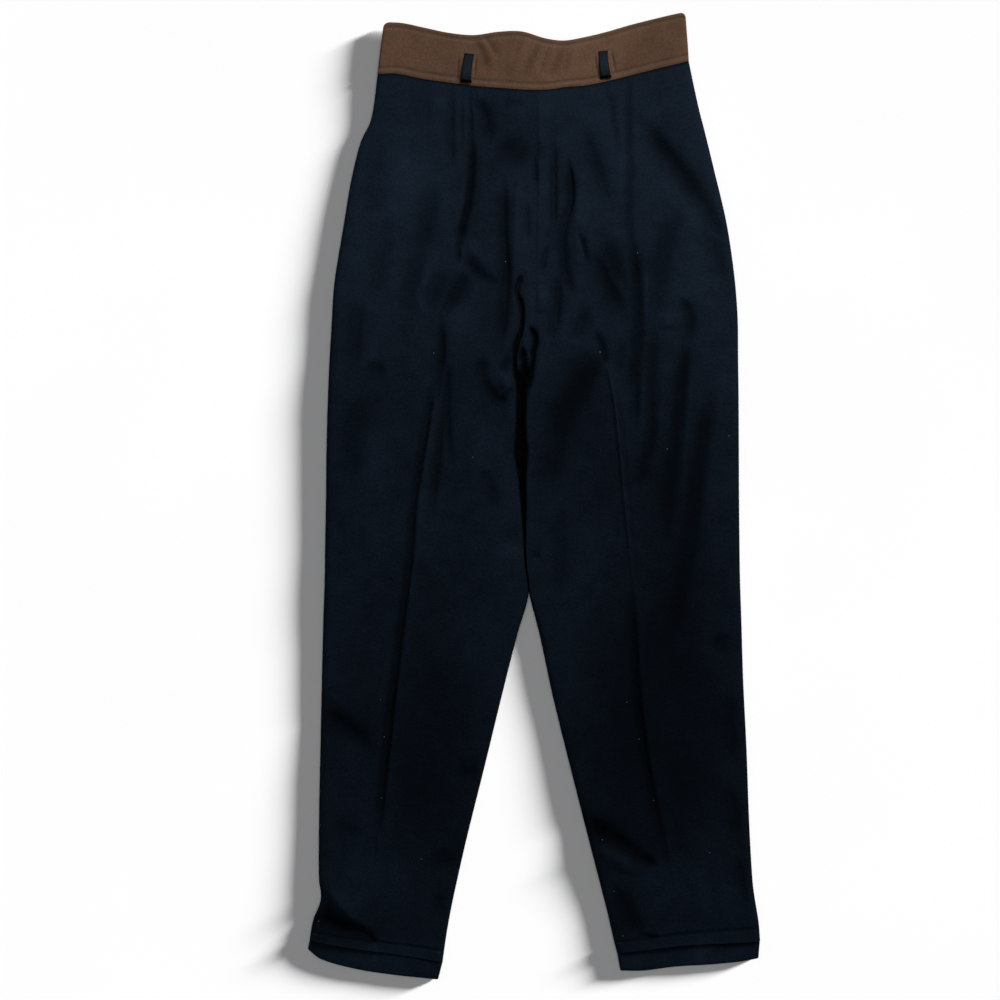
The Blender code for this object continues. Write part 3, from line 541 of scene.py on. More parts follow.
PATCHES = (
    Patch("right calf", 140, -255, 80, 150, 0.5),
    Patch("right calf, inner", 75, -215, 40, 110, 0.15),
    Patch("right knee", 150, -70, 70, 110, 0.28),
    Patch("right thigh", 145, 60, 60, 100, 0.27),
    Patch("right thigh, inner hollow", 55, 60, 34, 85, 0.3),
    Patch("left calf, inner", -112, -265, 52, 135, 0.42),
    Patch("left calf, outer", -195, -245, 30, 60, 0.15),
    Patch("left thigh", -165, 95, 50, 60, 0.1),
    Patch("left knee, inner", -60, -60, 42, 60, 0.12),
    Patch("left thigh, inner", -70, 60, 34, 80, 0.12),
    Patch("left ankle", -165, -420, 70, 46, -0.28),
    Patch("right ankle", 170, -425, 70, 46, -0.28),
    Patch("left hem", -170, -500, 90, 24, -0.55),
    Patch("right hem", 165, -495, 90, 24, -0.55),
    Patch("left hip", -148, 300, 58, 120, -0.27),
    Patch("left hip, upper", -120, 405, 50, 44, 0.2),
    Patch("right seat, above the hollow", 84, 248, 15, 20, 0.24),
    Patch("left knee, light", -25, -64, 12, 13, -0.3),
    Patch("left hem, pressed mark", -170, -486, 5, 17, -0.4),
    Patch("right hem, pressed mark", 178, -487, 6, 15, -0.35),
    Patch("seat, left of the seam", -42, 385, 34, 40, 0.16),
    Patch("seat, left, lower", -50, 300, 20, 44, 0.08),
    Patch("right hip", 160, 385, 34, 40, 0.05),
    Patch("right hip, lower", 178, 230, 30, 60, -0.12),
    Patch("right low seat", 88, 212, 14, 26, 0.12),
    Patch("left low seat", -95, 215, 20, 24, 0.2),
    Patch("left low seat, lobe", -78, 190, 14, 20, -0.18),
    Patch("right seat", 68, 330, 20, 36, -0.12),
    Patch("waistband, right end", 135, 485, 50, 60, 0.2),
)

Loop = namedtuple("Loop", "name top_x top_y low_x low_y")

LOOPS = (
    Loop("left", -69.2, 470.8, -72.6, 441.4),
    Loop("right", 73.7, 473.8, 76.8, 446.0),
)

# A strip of cloth along its stations. corner is how much its upper corners are rounded, and
# under_tuck how much painted shade it has under the leg's hem tuck.
Band = namedtuple("Band", "stations wall corner under_tuck slot")

# Long, low swells of cloth that lies on a table. Each is a product of waves, given by their lengths
# over x and over y, and by how far they wander to and fro over a length of y.
Wave = namedtuple("Wave", "x_length y_length phase wander wander_length", defaults=(0.0, 0.0, 1.0))
Swell = namedtuple("Swell", "height waves")

PANEL_SWELLS = (
    Swell(0.55, (Wave(19.0, math.inf, 0.0, 0.8, 71.0), Wave(133.0, 97.0, 1.3))),
    Swell(0.45, (Wave(31.0, -83.0, 2.1, 0.9, 43.0),)),
    Swell(0.16, (Wave(11.0, 59.0, 0.4), Wave(-67.0, 23.0))),
)
CUFF_SWELLS = (Swell(0.35, (Wave(17.0, math.inf), Wave(41.0, math.inf, 1.0))),)

# Woollen cloths, and how much each has of the twill, the lint and the uneven dye
Wool = namedtuple("Wool", "name color sheen sheen_tint twill lint unevenness")

WOOLS = (
    Wool("navy_wool_cloth", (0.0056, 0.0098, 0.0164, 1), 0.003, (0.5, 0.6, 0.75, 1), 1.0, 1.0, 1.0),
    Wool("brown_wool_cloth", (0.076, 0.043, 0.027, 1), 0.015, (0.8, 0.6, 0.45, 1), 0.6, 0.0, 0.7),
    Wool("strap_wool_cloth", (0.0070, 0.0099, 0.0138, 1), 0.003, (0.6, 0.6, 0.7, 1), 0.6, 0.0, 1.0),
)
WOOL_ROUGHNESS = 0.88
WOOL_SPECULAR = 0.02
SHEEN_ROUGHNESS = 0.45
BUMP_STRENGTH = 0.55
BUMP_METRES = 0.0005

# The grain of wool, from the finest: how much each noise adds to the bump and to the tone
Grain = namedtuple("Grain", "name scale detail roughness height tone")

GRAINS = (
    Grain("nap", 1500.0, 4.0, 0.7, 0.9, 0.9),
    Grain("clumps of nap", 420.0, 3.0, 0.5, 1.2, 0.8),
    Grain("yarn", 260.0, 2.0, 0.5, 0.8, 0.5),
    Grain("dye", 60.0, 2.0, 0.5, 0.0, 0.6),
    Grain("dye, broad", 16.0, 2.0, 0.5, 0.0, 0.6),
)
TWILL = (("Scale", 340.0), ("Distortion", 1.4), ("Detail", 2.0))
TWILL_ANGLE = 63.0
TWILL_HEIGHT = 0.3
DARKEST_TONE = 0.2
# How far the painted shade may darken the cloth
DARKEST_PAINTED_SHADE = 0.02
PAINTED_SHADE_STRENGTH = 0.97
LINT_SPREAD = 17.0
LINT_SIZE = 0.01
LINT_LEFT_OUT = 0.7
LINT_COLOR = (0.085, 0.09, 0.095, 1)

# Finishes whose colour swings between two tones, by a texture in the piece's own place
Finish = namedtuple("Finish", "name dark light texture settings roughness specular")

THREAD = Finish("brown_thread", (0.05, 0.03, 0.019, 1), (0.085, 0.051, 0.0323, 1),
                "Noise", (("Scale", 2500.0),), 0.6, 0.5)
HORN = Finish("dark_horn", (0.02, 0.012, 0.008, 1), (0.08, 0.05, 0.03, 1),
              "Wave", (("Scale", 90.0), ("Distortion", 6.0), ("Detail", 3.0)), 0.3, 0.5)
PALE_FLOOR = Finish("pale_floor", (0.63, 0.63, 0.63, 1), (0.65, 0.65, 0.65, 1),
                    "Noise", (("Scale", 3.0),), 1.0, 0.0)

# Lamps and floor, in metres and watts. The low sun over the table draws the long shadow.
Lamp = namedtuple("Lamp", "name kind power place toward shape")

LOW_SUN = (-0.91, -0.41, -math.tan(math.radians(8.5)))
GARMENT_LAMPS = (
    Lamp("window", "AREA", 28.0, (0.55, 1.3, 0.7), (-0.55, -1.15, -0.7),
         {"shape": "RECTANGLE", "size": 0.8, "size_y": 0.5}),
    Lamp("ceiling", "AREA", 10.0, (-0.4, 0.9, 2.0), (0.4, -0.6, -2.0),
         {"shape": "RECTANGLE", "size": 1.2, "size_y": 1.2}),
)
TABLE_LAMPS = (
    Lamp("table_sun", "SUN", 25.6, (0, 0, 0), LOW_SUN, {"angle": math.radians(8.0)}),
    Lamp("table_fill", "SUN", 0.87, (0, 0, 0), (0, 0, -1), {"angle": math.radians(60.0)}),
)
ROOM_COLOR = (0.9, 0.95, 1.0, 1)
ROOM_LIGHT = 0.07
FLOOR_SIZE = 3.0
FLOOR_DROP = 0.0004

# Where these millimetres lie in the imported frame
SHIFT_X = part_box("waistband_back")[0].x / MM - WAISTBAND[0].low_x
SHIFT_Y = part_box("cuff_left_back")[0].y / MM - LEFT_CUFF[-1].low_y

# The picture's scale and middle, and the camera
MM_PER_PIXEL = 1.07
PICTURE = 1000
AXIS_PIXEL_X = 534
AXIS_PIXEL_Y = 494
LENS = 70.0
SENSOR = 36.0


def mix(a, b, share):
    return a + (b - a) * share


def ramp(value, start, end):
    return np.clip((np.asarray(value, float) - start) / (end - start), 0.0, 1.0)


def smooth(share):
    return share * share * (3 - 2 * share)


def rising(value, start, end):
    return smooth(ramp(value, start, end))


def going_down(level, start, end):
    """0 above the start, 1 below the end."""
    return rising(-level, -start, -end)


def bell(distance, width):
    return np.exp(-((distance / width) ** 2))


def fade(distance, width):
    return np.exp(-distance / width)


def lookup(rows, known, wanted, at):
    """A table's wanted column at values of its known one, on a smooth curve through its rows."""
    knots, values = (np.array([getattr(row, name) for row in rows], float) for name in (known, wanted))
    order = np.argsort(knots)
    k, v = knots[order], values[order]
    low = np.maximum(np.arange(len(k)) - 1, 0)
    high = np.minimum(np.arange(len(k)) + 1, len(k) - 1)
    slope = (v[high] - v[low]) / (k[high] - k[low])
    at = np.clip(at, k[0], k[-1])
    i = np.clip(np.searchsorted(k, at, side="right") - 1, 0, len(k) - 2)
    span = k[i + 1] - k[i]
    t = (at - k[i]) / span
    start = (2 * t**3 - 3 * t**2 + 1) * v[i] + (t**3 - 2 * t**2 + t) * span * slope[i]
    end = (3 * t**2 - 2 * t**3) * v[i + 1] + (t**3 - t**2) * span * slope[i + 1]
    return start + end


def band_edge(stations, side, x):
    return lookup(stations, f"{side}_x", f"{side}_y", x)


class Leg:
    """The outline of one leg, by the height of its inner edge."""

    def __init__(self, name, sections, cuff, side):
        self.name, self.sections, self.cuff, self.side = name, sections, cuff, side
        self.top, self.bottom = sections[0], sections[-1]

    def at(self, name, inner_y):
        return lookup(self.sections, "inner_y", name, inner_y)

    def ends(self, inner_y):
        parted = inner_y < LEGS_PART_AT
        shared = middle_x(inner_y) + self.side * CENTRE_GAP / 2
        inner = np.where(parted, self.at("inner_x", inner_y), shared)
        return self.at("outer_x", inner_y), self.at("crease_x", inner_y), inner

    def chord(self, row, x):
        return mix(row.outer_y, row.inner_y, (x - row.outer_x) / (row.inner_x - row.outer_x))

    def row_y(self, inner_y, x):
        outer_x, _, inner_x = self.ends(inner_y)
        y = mix(self.at("outer_y", inner_y), inner_y, (x - outer_x) / (inner_x - outer_x))
        near_waist = ramp(inner_y, self.top.inner_y - WAIST_RISE, self.top.inner_y)
        near_hem = ramp(-inner_y, -self.bottom.inner_y - WAIST_RISE, -self.bottom.inner_y)
        waist = band_edge(WAISTBAND, "low", x) - SEAM_GAP - self.chord(self.top, x)
        hem = band_edge(self.cuff, "top", x) + SEAM_GAP - self.chord(self.bottom, x)
        return y + near_waist * waist + near_hem * hem


LEFT = Leg("left", LEFT_LEG, LEFT_CUFF, -1)
RIGHT = Leg("right", RIGHT_LEG, RIGHT_CUFF, 1)
LEGS = (LEFT, RIGHT)


def middle_x(inner_y):
    return (LEFT.at("inner_x", inner_y) + RIGHT.at("inner_x", inner_y)) / 2


def fold_line(fold):
    """Points along the fold, through its three given ones."""
    t = np.linspace(0.0, 1.0, FOLD_SAMPLES)
    first, middle, last = (1 - t) * (1 - 2 * t), 4 * t * (1 - t), t * (2 * t - 1)
    x = first * fold.x1 + middle * fold.x2 + last * fold.x3
    y = first * fold.y1 + middle * fold.y2 + last * fold.y3
    return np.stack([x, y], axis=1)


def nearest(line, x, y):
    """For each point: distance to the line, how far along it, and on which side (1 is nearer +X)."""
    best = np.full(x.shape, np.inf)
    along = np.zeros(x.shape)
    side = np.zeros(x.shape)
    for k in range(len(line) - 1):
        (ax, ay), (bx, by) = line[k], line[k + 1]
        run_x, run_y = bx - ax, by - ay
        share = np.clip(((x - ax) * run_x + (y - ay) * run_y) / (run_x**2 + run_y**2), 0.0, 1.0)
        distance = np.hypot(x - ax - share * run_x, y - ay - share * run_y)
        closer = distance < best
        best = np.where(closer, distance, best)
        along = np.where(closer, (k + share) / (len(line) - 1), along)
        cross = run_x * (y - ay) - run_y * (x - ax)
        side = np.where(closer, np.sign(cross), side)
    return best, along, side


def left_at_ends(fold, along):
    """Share of the fold's height, falling off towards both ends."""
    from_start = mix(fold.start, 1.0, rising(along, 0.0, FOLD_FADE))
    from_end = mix(fold.end, 1.0, rising(1 - along, 0.0, FOLD_FADE))
    return from_start * from_end


def fold_height(folds, x, y, spread=1.0):
    """The deepest trough and the highest ridge at each point, each fold made wider by spread."""
    troughs, ridges = np.zeros(x.shape), np.zeros(x.shape)
    for fold in folds:
        line = fold_line(fold)
        reach = FOLD_REACH * fold.width * spread
        low, high = line.min(axis=0) - reach, line.max(axis=0) + reach
        near = (x > low[0]) & (x < high[0]) & (y > low[1]) & (y < high[1])
        if not near.any():
            continue
        distance, along, side = nearest(line, x[near], y[near])
        width = spread * fold.width * (1 + LEAN_WIDENS * fold.lean * side)
        share = left_at_ends(fold, along)
        core = CORE_SHARE * bell(distance, width * (CORE_WIDTH_AT_END + CORE_WIDTH_MORE * share))
        value = fold.height * share * (core + TAIL_SHARE * bell(distance, TAIL_WIDTH * width))
        troughs[near] = np.minimum(troughs[near], value)
        ridges[near] = np.maximum(ridges[near], value)
    return troughs + ridges


def drape(swells, x, y):
    total = np.zeros(x.shape)
    for swell in swells:
        height = 1.0
        for wave in swell.waves:
            wander = wave.wander * np.sin(y / wave.wander_length)
            height = height * np.sin(x / wave.x_length + y / wave.y_length + wave.phase + wander)
        total = total + swell.height * height
    return total


def crease(leg, x, inner_y):
    """A pressed ridge, sharp on its left and gentle on its right, with a trough on either side."""
    across = x - leg.ends(inner_y)[1]
    rows = LEFT_PRESSED if leg is LEFT else RIGHT_PRESSED
    ridge, left, right = (lookup(rows, "level", part, inner_y) for part in ("ridge", "left", "right"))
    top = CREASE_HEIGHT * fade(np.abs(across), np.where(across < 0, CREASE_SHARP, CREASE_SOFT))
    on_left = LEFT_TROUGH * bell(across + LEFT_TROUGH_AWAY, LEFT_TROUGH_WIDTH)
    on_right = RIGHT_TROUGH * bell(across - RIGHT_TROUGH_AWAY, RIGHT_TROUGH_WIDTH)
    return ridge * top - left * on_left - right * on_right


def seat_seam(x, inner_y):
    """The groove of the seat seam, and the allowance that shows through on its right."""
    groove = SEAM_GROOVE * fade(np.abs(x - middle_x(inner_y)), SEAM_GROOVE_WIDTH)
    return ALLOWANCE_HEIGHT * allowance(x, inner_y) - groove * rising(inner_y, *SEAM_STARTS)


def allowance(x, inner_y):
    away = x - middle_x(inner_y)
    strip = rising(away, *ALLOWANCE_NEAR) * (1 - rising(away, *ALLOWANCE_FAR))
    return strip * rising(inner_y, *ALLOWANCE_STARTS)


def hem_tuck(leg, level):
    """The step down onto the tuck and the dent of its stitching, from 0 to 1."""
    above = level - leg.bottom.inner_y - TUCK_DEPTH
    return ramp(-above, *TUCK_STEP), bell(above - TUCK_DENT_UP, TUCK_DENT_WIDTH)


def painted_patch_shade(x, y):
    """Broad patches of painted shade, or of painted light where below 0."""
    tone = np.zeros(x.shape)
    for patch in PATCHES:
        away = ((x - patch.x) / patch.half_width) ** 2 + ((y - patch.y) / patch.half_length) ** 2
        tone = tone + patch.darker * np.exp(-(away**PATCH_EDGE))
    return tone


def from_outline(leg, x, level):
    """0 on the leg's own outline, 1 a little way in."""
    outer, _, inner = leg.ends(level)
    joined = 1 - going_down(level, LEGS_PART_AT + PARTING, LEGS_PART_AT - PARTING)
    away = np.minimum(np.abs(x - outer), np.abs(x - inner) + OUTLINE_REACH * joined)
    return rising(away, 0.0, OUTLINE_REACH)


def waist_share(leg, inner_y):
    return rising(inner_y, leg.top.inner_y - WAIST_RISE, leg.top.inner_y)


def seam_level(leg, inner_y):
    return mix(SEAM_LEVEL, FRONT_WAIST + WALL + SEAM_GAP / 2, waist_share(leg, inner_y))


def turned_edge(theta, rolled, turn, thickness):
    """How far in the shown and the hidden face are, and their share of the full height."""
    part = 1 - math.cos(theta)
    start = rolled * thickness
    return turn * part, start + (turn - start) * part, mix(1.0, math.sin(theta), rolled)


def lay_columns(stops, rolled, turns, thickness, turn_steps, counts):
    """Distances across every row, for the shown and the hidden face, and the lift of each column."""
    width = stops[-1]
    shown, hidden, lift = [], [], []

    def add_column(a, b, c):
        shown.append(a + 0 * width)
        hidden.append(b + 0 * width)
        lift.append(c + 0 * width)

    for k in range(turn_steps):
        add_column(*turned_edge(math.pi / 2 * k / turn_steps, rolled[0], turns[0], thickness))
    inner_stops = [turns[0] + 0 * width] + list(stops[1:-1]) + [width - turns[1]]
    for start, end, count in zip(inner_stops, inner_stops[1:], counts):
        for k in range(count):
            place = mix(start, end, k / count)
            add_column(place, place, 1.0)
    add_column(inner_stops[-1], inner_stops[-1], 1.0)
    for k in reversed(range(turn_steps)):
        a, b, c = turned_edge(math.pi / 2 * k / turn_steps, rolled[1], turns[1], thickness)
        add_column(width - a, width - b, c)
    return np.stack(shown, axis=1), np.stack(hidden, axis=1), np.stack(lift, axis=1)


def linked(name, data):
    obj = bpy.data.objects.new(name, data)
    bpy.context.scene.collection.objects.link(obj)
    return obj


def mesh_object(name, mesh, material):
    data = bpy.data.meshes.new(name)
    mesh.to_mesh(data)
    mesh.free()
    data.materials.append(material)
    return linked(name, data)


def finished(name, mesh, material):
    obj = mesh_object(name, mesh, material)
    obj.data.shade_smooth()
    obj.data.set_sharp_from_angle(angle=math.radians(SHARP_ANGLE))
    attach(obj, "root")
    return obj


def cloth_wall(name, node, shown, hidden, grain, painted_shading, material):
    """A closed wall of cloth. shown and hidden are rows x columns x 3."""
    rows, columns = shown.shape[:2]
    mesh = bmesh.new()
    along = mesh.verts.layers.float_vector.new("grain")
    # Each point carries its painted shading: painted shade above 0, painted highlight below 0
    depth = mesh.verts.layers.float.new("painted_shading")
    bmesh.ops.create_grid(mesh, x_segments=columns - 1, y_segments=rows - 1, size=0.5)
    front = set(mesh.verts)
    bmesh.ops.extrude_face_region(mesh, geom=mesh.faces[:])
    offset = np.array([SHIFT_X, SHIFT_Y, 0.0])
    faces = {True: (shown + offset) * MM, False: (hidden + offset) * MM}
    for vert in mesh.verts:
        i = round((vert.co.x + 0.5) * (columns - 1))
        j = round((0.5 - vert.co.y) * (rows - 1))
        vert.co = faces[vert in front][j, i]
        vert[along] = (grain[j, i, 0] * MM, grain[j, i, 1] * MM, 0.0)
        vert[depth] = painted_shading[j, i]
    bmesh.ops.recalc_face_normals(mesh, faces=mesh.faces[:])
    obj = finished(name, mesh, material)
    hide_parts(node)
    return obj


def gap_width(inner_y):
    return lookup(LEG_GAP, "level", "half_width", inner_y)


def centre_edge(inner_y, turn):
    """How far the inner edge is turned, and over what width."""
    rolled = 1 - rising(inner_y, CENTRE_TURNED_BELOW, CENTRE_FLAT_ABOVE)
    parted = ramp(-inner_y, -LEGS_PART_AT, -LEGS_PART_AT + WAIST_RISE)
    return rolled, mix(GAP_TURN * gap_width(inner_y), turn, parted)


def gap_shade(leg, x, inner_y):
    """Painted shade: 1 inside the gap between the thighs."""
    away = np.abs(x - leg.ends(inner_y)[2]) / gap_width(inner_y)
    from_fork = going_down(inner_y, CENTRE_FLAT_ABOVE, CENTRE_TURNED_BELOW)
    until_parted = 1 - going_down(inner_y, LEGS_PART_AT + GAP_END, LEGS_PART_AT - GAP_END)
    return (1 - rising(away, *GAP_SIDES)) * from_fork * until_parted


def steepness(x, y, z, lift):
    """Slope of the flat part of a panel."""
    across = np.gradient(z, axis=1) / np.where(lift < 1, 1.0, np.gradient(x, axis=1))
    down = np.gradient(z, axis=0) / np.gradient(y, axis=0)
    return np.where(lift < 1, 0.0, np.hypot(across, down))


def row_levels(leg, rows):
    """Heights of the rows on the inner edge, closer together at the fork and at the hem tuck."""
    level = np.linspace(leg.top.inner_y, leg.bottom.inner_y, ROW_SAMPLES * rows)
    at_fork = FORK_CLOSER * bell(level - FORK_LEVEL, FORK_REACH)
    at_hem = HEM_CLOSER * bell(level - leg.bottom.inner_y - TUCK_DEPTH, HEM_REACH)
    density = 1 + at_fork + at_hem
    place = np.concatenate([[0.0], np.cumsum(density[1:] + density[:-1])])
    return np.interp(np.linspace(0.0, place[-1], rows), place, level)


def panel_grid(leg, turn, turn_steps, counts, rows, with_crease):
    """x and y of both faces of a leg panel, their lift, and the inner-edge height of each row."""
    inner_y = row_levels(leg, rows)
    outer, fold, inner = leg.ends(inner_y)
    rolled, inner_turn = centre_edge(inner_y, turn)
    width = np.abs(inner - outer)
    inner_stops = [np.abs(fold - outer), width - FORK_STRIP] if with_crease else []
    stops = [0 * width, *inner_stops, width]
    *distances, lift = lay_columns(stops, (1.0, rolled), (turn, inner_turn), WALL, turn_steps, counts)
    level = inner_y[:, None] + 0 * lift
    spots = []
    for distance in distances:
        x = outer[:, None] - leg.side * distance
        spots.append((x, leg.row_y(level, x)))
    return spots, lift, level


def two_faces(spots, heights, seam, lift):
    """The points of both faces, which meet at the seam's height along the turned edges."""
    return [np.stack([x, y, mix(seam, z, lift)], axis=2) for (x, y), z in zip(spots, heights)]


def panel_grain(leg, x, level):
    """Cloth coordinates: across from the crease, and down the leg."""
    return np.stack([x - leg.ends(level)[1], level], axis=2)


def held_at_waist(leg, level):
    return 1 - HELD_SHARE * rising(level, leg.top.inner_y - HELD_BELOW_WAIST, leg.top.inner_y)


def back_height(leg, x, y, level, folds, pressed):
    """Height of the shown face of a back panel, which never sinks into the front."""
    share = waist_share(leg, level)
    small = drape(PANEL_SWELLS, x, y) + pressed + seat_seam(x, level)
    cloth = (folds * from_outline(leg, x, level) + small) * held_at_waist(leg, level)
    face = mix(PANEL_FACE, BACK_WAIST, share) + cloth
    face = face + LAP_LIFT * smooth(lap_rise(x, BACK_LAP)) * share
    step, dent = hem_tuck(leg, level)
    face = face + TUCK_HEIGHT * step - TUCK_DENT * dent
    lowest = mix(FACE_LOWEST, WAIST_LOWEST, share)
    return lowest + np.logaddexp(0.0, (face - lowest) * SETTLING) / SETTLING


def back_shade(leg, x, y, z, lift, level, folds, pressed):
    """How dark each point is painted: painted shade in hollows, on steep sides, along the seams, in broad
    patches and in the gap between the legs, and painted highlight on ridges.
    """
    hollow = FOLD_DEPTH * fold_height(BACK_FOLDS, x, y, HOLLOW_SPREAD) + pressed
    hollow_shade = np.clip(-hollow / HOLLOW_DEPTH, 0.0, HOLLOW_DARKEST)
    slope_shade = np.clip(STEEP_SHADE * steepness(x, y, z, lift), 0.0, STEEP_DARKEST)
    # Painted shadow lines under the waistband's edge and in the dent of the hem tuck
    line = WAIST_SHADOW * fade(leg.top.inner_y - level, WAIST_SHADOW_WIDTH)
    line = line + TUCK_DENT_SHADE * hem_tuck(leg, level)[1]
    # Painted highlight on the ridges, the crease and the seam allowance
    ridges = np.clip(folds / RIDGE_HIGHLIGHT_HEIGHT, 0.0, 1.0) + np.clip(pressed, 0.0, 1.0)
    ridge_highlight = RIDGE_HIGHLIGHT * (ridges + ALLOWANCE_HIGHLIGHT * allowance(x, level)) * held_at_waist(leg, level)
    lit = (1 - hollow_shade) * (1 - slope_shade) * (1 - line) * (1 - painted_patch_shade(x, y)) * (1 + ridge_highlight)
    return 1 - lit * (1 - gap_shade(leg, x, level))


def back_panel(leg, material):
    spots, lift, level = panel_grid(leg, TOP_TURN, PANEL_TURN_STEPS, PANEL_COLUMNS, PANEL_ROWS, True)
    x, y = spots[0]
    folds = FOLD_DEPTH * fold_height(BACK_FOLDS, x, y)
    pressed = crease(leg, x, level)
    face = back_height(leg, x, y, level, folds, pressed)
    seam = seam_level(leg, level) + SEAM_GAP / 2
    shown, hidden = two_faces(spots, (face, face - WALL), seam, lift)
    painted_shading = back_shade(leg, x, y, shown[..., 2], lift, level, folds, pressed)
    return cloth_wall(f"{leg.name}_back_leg", f"back_{leg.name}", shown, hidden,
                      panel_grain(leg, x, level), painted_shading, material)


def front_panel(leg, material):
    counts = (UNDER_COLUMNS,)
    spots, lift, level = panel_grid(leg, UNDER_TURN, UNDER_TURN_STEPS, counts, UNDER_ROWS, False)
    x, y = spots[0]
    share = waist_share(leg, level)
    folds = fold_height(FRONT_FOLDS, x, y)
    face = FRONT_WAIST * share + np.maximum(folds, 0.0) * (1 - share)
    seam = seam_level(leg, level) - SEAM_GAP / 2
    shown, hidden = two_faces(spots, (face, face + WALL), seam, lift)
    # Painted shade where the folds lift the cloth off the table
    painted_shading = np.clip(folds / FRONT_SHADE_DEPTH, 0.0, 1.0)
    return cloth_wall(f"{leg.name}_front_leg", f"front_{leg.name}", shown, hidden,
                      panel_grain(leg, x, level), painted_shading, material)


def along_band(stations, low_x, down):
    """x and y at a share of the way down a band, and the band's depth there."""
    top_x = lookup(stations, "low_x", "top_x", low_x)
    top_y, low_y = band_edge(stations, "top", top_x), band_edge(stations, "low", low_x)
    return mix(top_x, low_x, down), mix(top_y, low_y, down), top_y - low_y


def band_grid(band, span, rolled, size):
    """x and y of both faces of a band, their lift, and each column's x, share down and depth."""
    start, end = span
    columns, rows = size
    width = np.full(rows, end - start)
    turns = tuple(END_TURN * roll for roll in rolled)
    stops = [0 * width, width]
    *distances, lift = lay_columns(stops, rolled, turns, band.wall, BAND_TURN_STEPS, (columns,))
    down = np.linspace(0.0, 1.0, rows)[:, None] + 0 * lift
    spots = []
    for distance in distances:
        low_x = start + distance
        x, y, depth = along_band(band.stations, low_x, down)
        from_end = np.clip(np.minimum(low_x - start, end - low_x) / CORNER_ROUND, 0.0, 1.0)
        cut = band.corner * (1 - np.sqrt(1 - (1 - from_end) ** 2))
        spots.append((x, y - cut * (1 - down) ** 2))
    return spots, lift, start + distances[0], down, depth


def band_piece(name, node, band, span, rolled, size, faces, seam, folds, material):
    """faces(low_x, down, depth) gives the heights of the shown and the hidden face."""
    spots, lift, low_x, down, depth = band_grid(band, span, rolled, size)
    x, y = spots[0]
    bent = fold_height(folds, x, y)
    shown_face, hidden_face = faces(low_x, down, depth)
    up = 1 if shown_face.mean() > hidden_face.mean() else -1
    edge = fade(down * depth, BAND_EDGE_WIDTH) + fade((1 - down) * depth, BAND_EDGE_WIDTH)
    shown_face = shown_face + up * (bent - BAND_EDGE_DIP * edge)
    shown, hidden = two_faces(spots, (shown_face, hidden_face), seam, lift)
    grain = np.stack([x, -down * depth], axis=2)
    # Painted shade in the band's folds, in broad patches and under the leg's hem tuck
    under_tuck = band.under_tuck * fade(down * depth, UNDER_TUCK_WIDTH)
    hollow = np.clip(-bent / BAND_SHADE_DEPTH, 0.0, 1.0)
    painted_shading = 1 - (1 - hollow) * (1 - painted_patch_shade(x, y)) * (1 - under_tuck)
    return cloth_wall(name, node, shown, hidden, grain, painted_shading, material)


def stitch_dent(down, depth):
    """The cloth dips along both rows of topstitching."""
    from_edge = {"top": down * depth, "low": (1 - down) * depth}
    return sum(STITCH_SINK * bell(from_edge[side] - inset, STITCH_DENT_WIDTH)
               for side, inset in STITCH_ROWS)


def lap_rise(x, corners):
    return np.minimum(ramp(x, *corners[:2]), 1 - ramp(x, *corners[2:]))


def back_band_face(x):
    return BACK_BAND + LAP_LIFT * smooth(lap_rise(x, BACK_LAP))


def waistbands(material):
    band = Band(WAISTBAND, BAND_WALL, CORNER_ROUND, 0.0, "brown_wool")
    left, right = WAISTBAND[0].low_x, WAISTBAND[-1].low_x
    above, below = BAND_SEAM_LEVEL + SEAM_GAP / 2, BAND_SEAM_LEVEL - SEAM_GAP / 2

    def back_faces(x, down, depth):
        face = back_band_face(x)
        return face - stitch_dent(down, depth), face - BAND_WALL

    def front_faces(lift):
        def faces(x, down, depth):
            face = FRONT_BAND + lift * smooth(lap_rise(x, FRONT_LAP))
            return face + stitch_dent(down, depth), face + BAND_WALL
        return faces

    size = (BAND_COLUMNS, BAND_ROWS)
    half = (BAND_COLUMNS // 2, BAND_ROWS // 2)
    pieces = (
        ("back_waistband", "waistband_back", (left, right), (1, 1), size, back_faces, above, BAND_FOLDS),
        ("left_front_waistband", "waistband_front_left", (left, LAP_TO), (1, 0), half,
         front_faces(0.0), below, NO_FOLDS),
        ("right_front_waistband", "waistband_front_right", (LAP_FROM, right), (0, 1), half,
         front_faces(LAP_LIFT), below, NO_FOLDS),
    )
    return [band_piece(name, node, band, *row, material) for name, node, *row in pieces]


def hem_bands(leg, material):
    """Back and front half of one hem band."""
    band = Band(leg.cuff, CUFF_WALL, 0.0, UNDER_TUCK_SHADE, "navy_wool")
    span = (leg.cuff[0].low_x, leg.cuff[-1].low_x)

    def back_faces(x, down, depth):
        level = PANEL_FACE - CUFF_BELOW_PANEL - CUFF_DROP * down
        face = level + drape(CUFF_SWELLS, x, down)
        return face, face - CUFF_WALL

    def front_faces(x, down, depth):
        return 0 * x, CUFF_WALL + 0 * x

    size = (CUFF_COLUMNS, CUFF_ROWS)
    halves = (
        ("back", back_faces, SEAM_LEVEL + SEAM_GAP / 2),
        ("front", front_faces, SEAM_LEVEL - SEAM_GAP / 2),
    )
    return [
        band_piece(f"{leg.name}_{half}_hem_band", f"cuff_{leg.name}_{half}", band, span, (1, 1), size,
                   faces, seam, NO_FOLDS, material)
        for half, faces, seam in halves
    ]


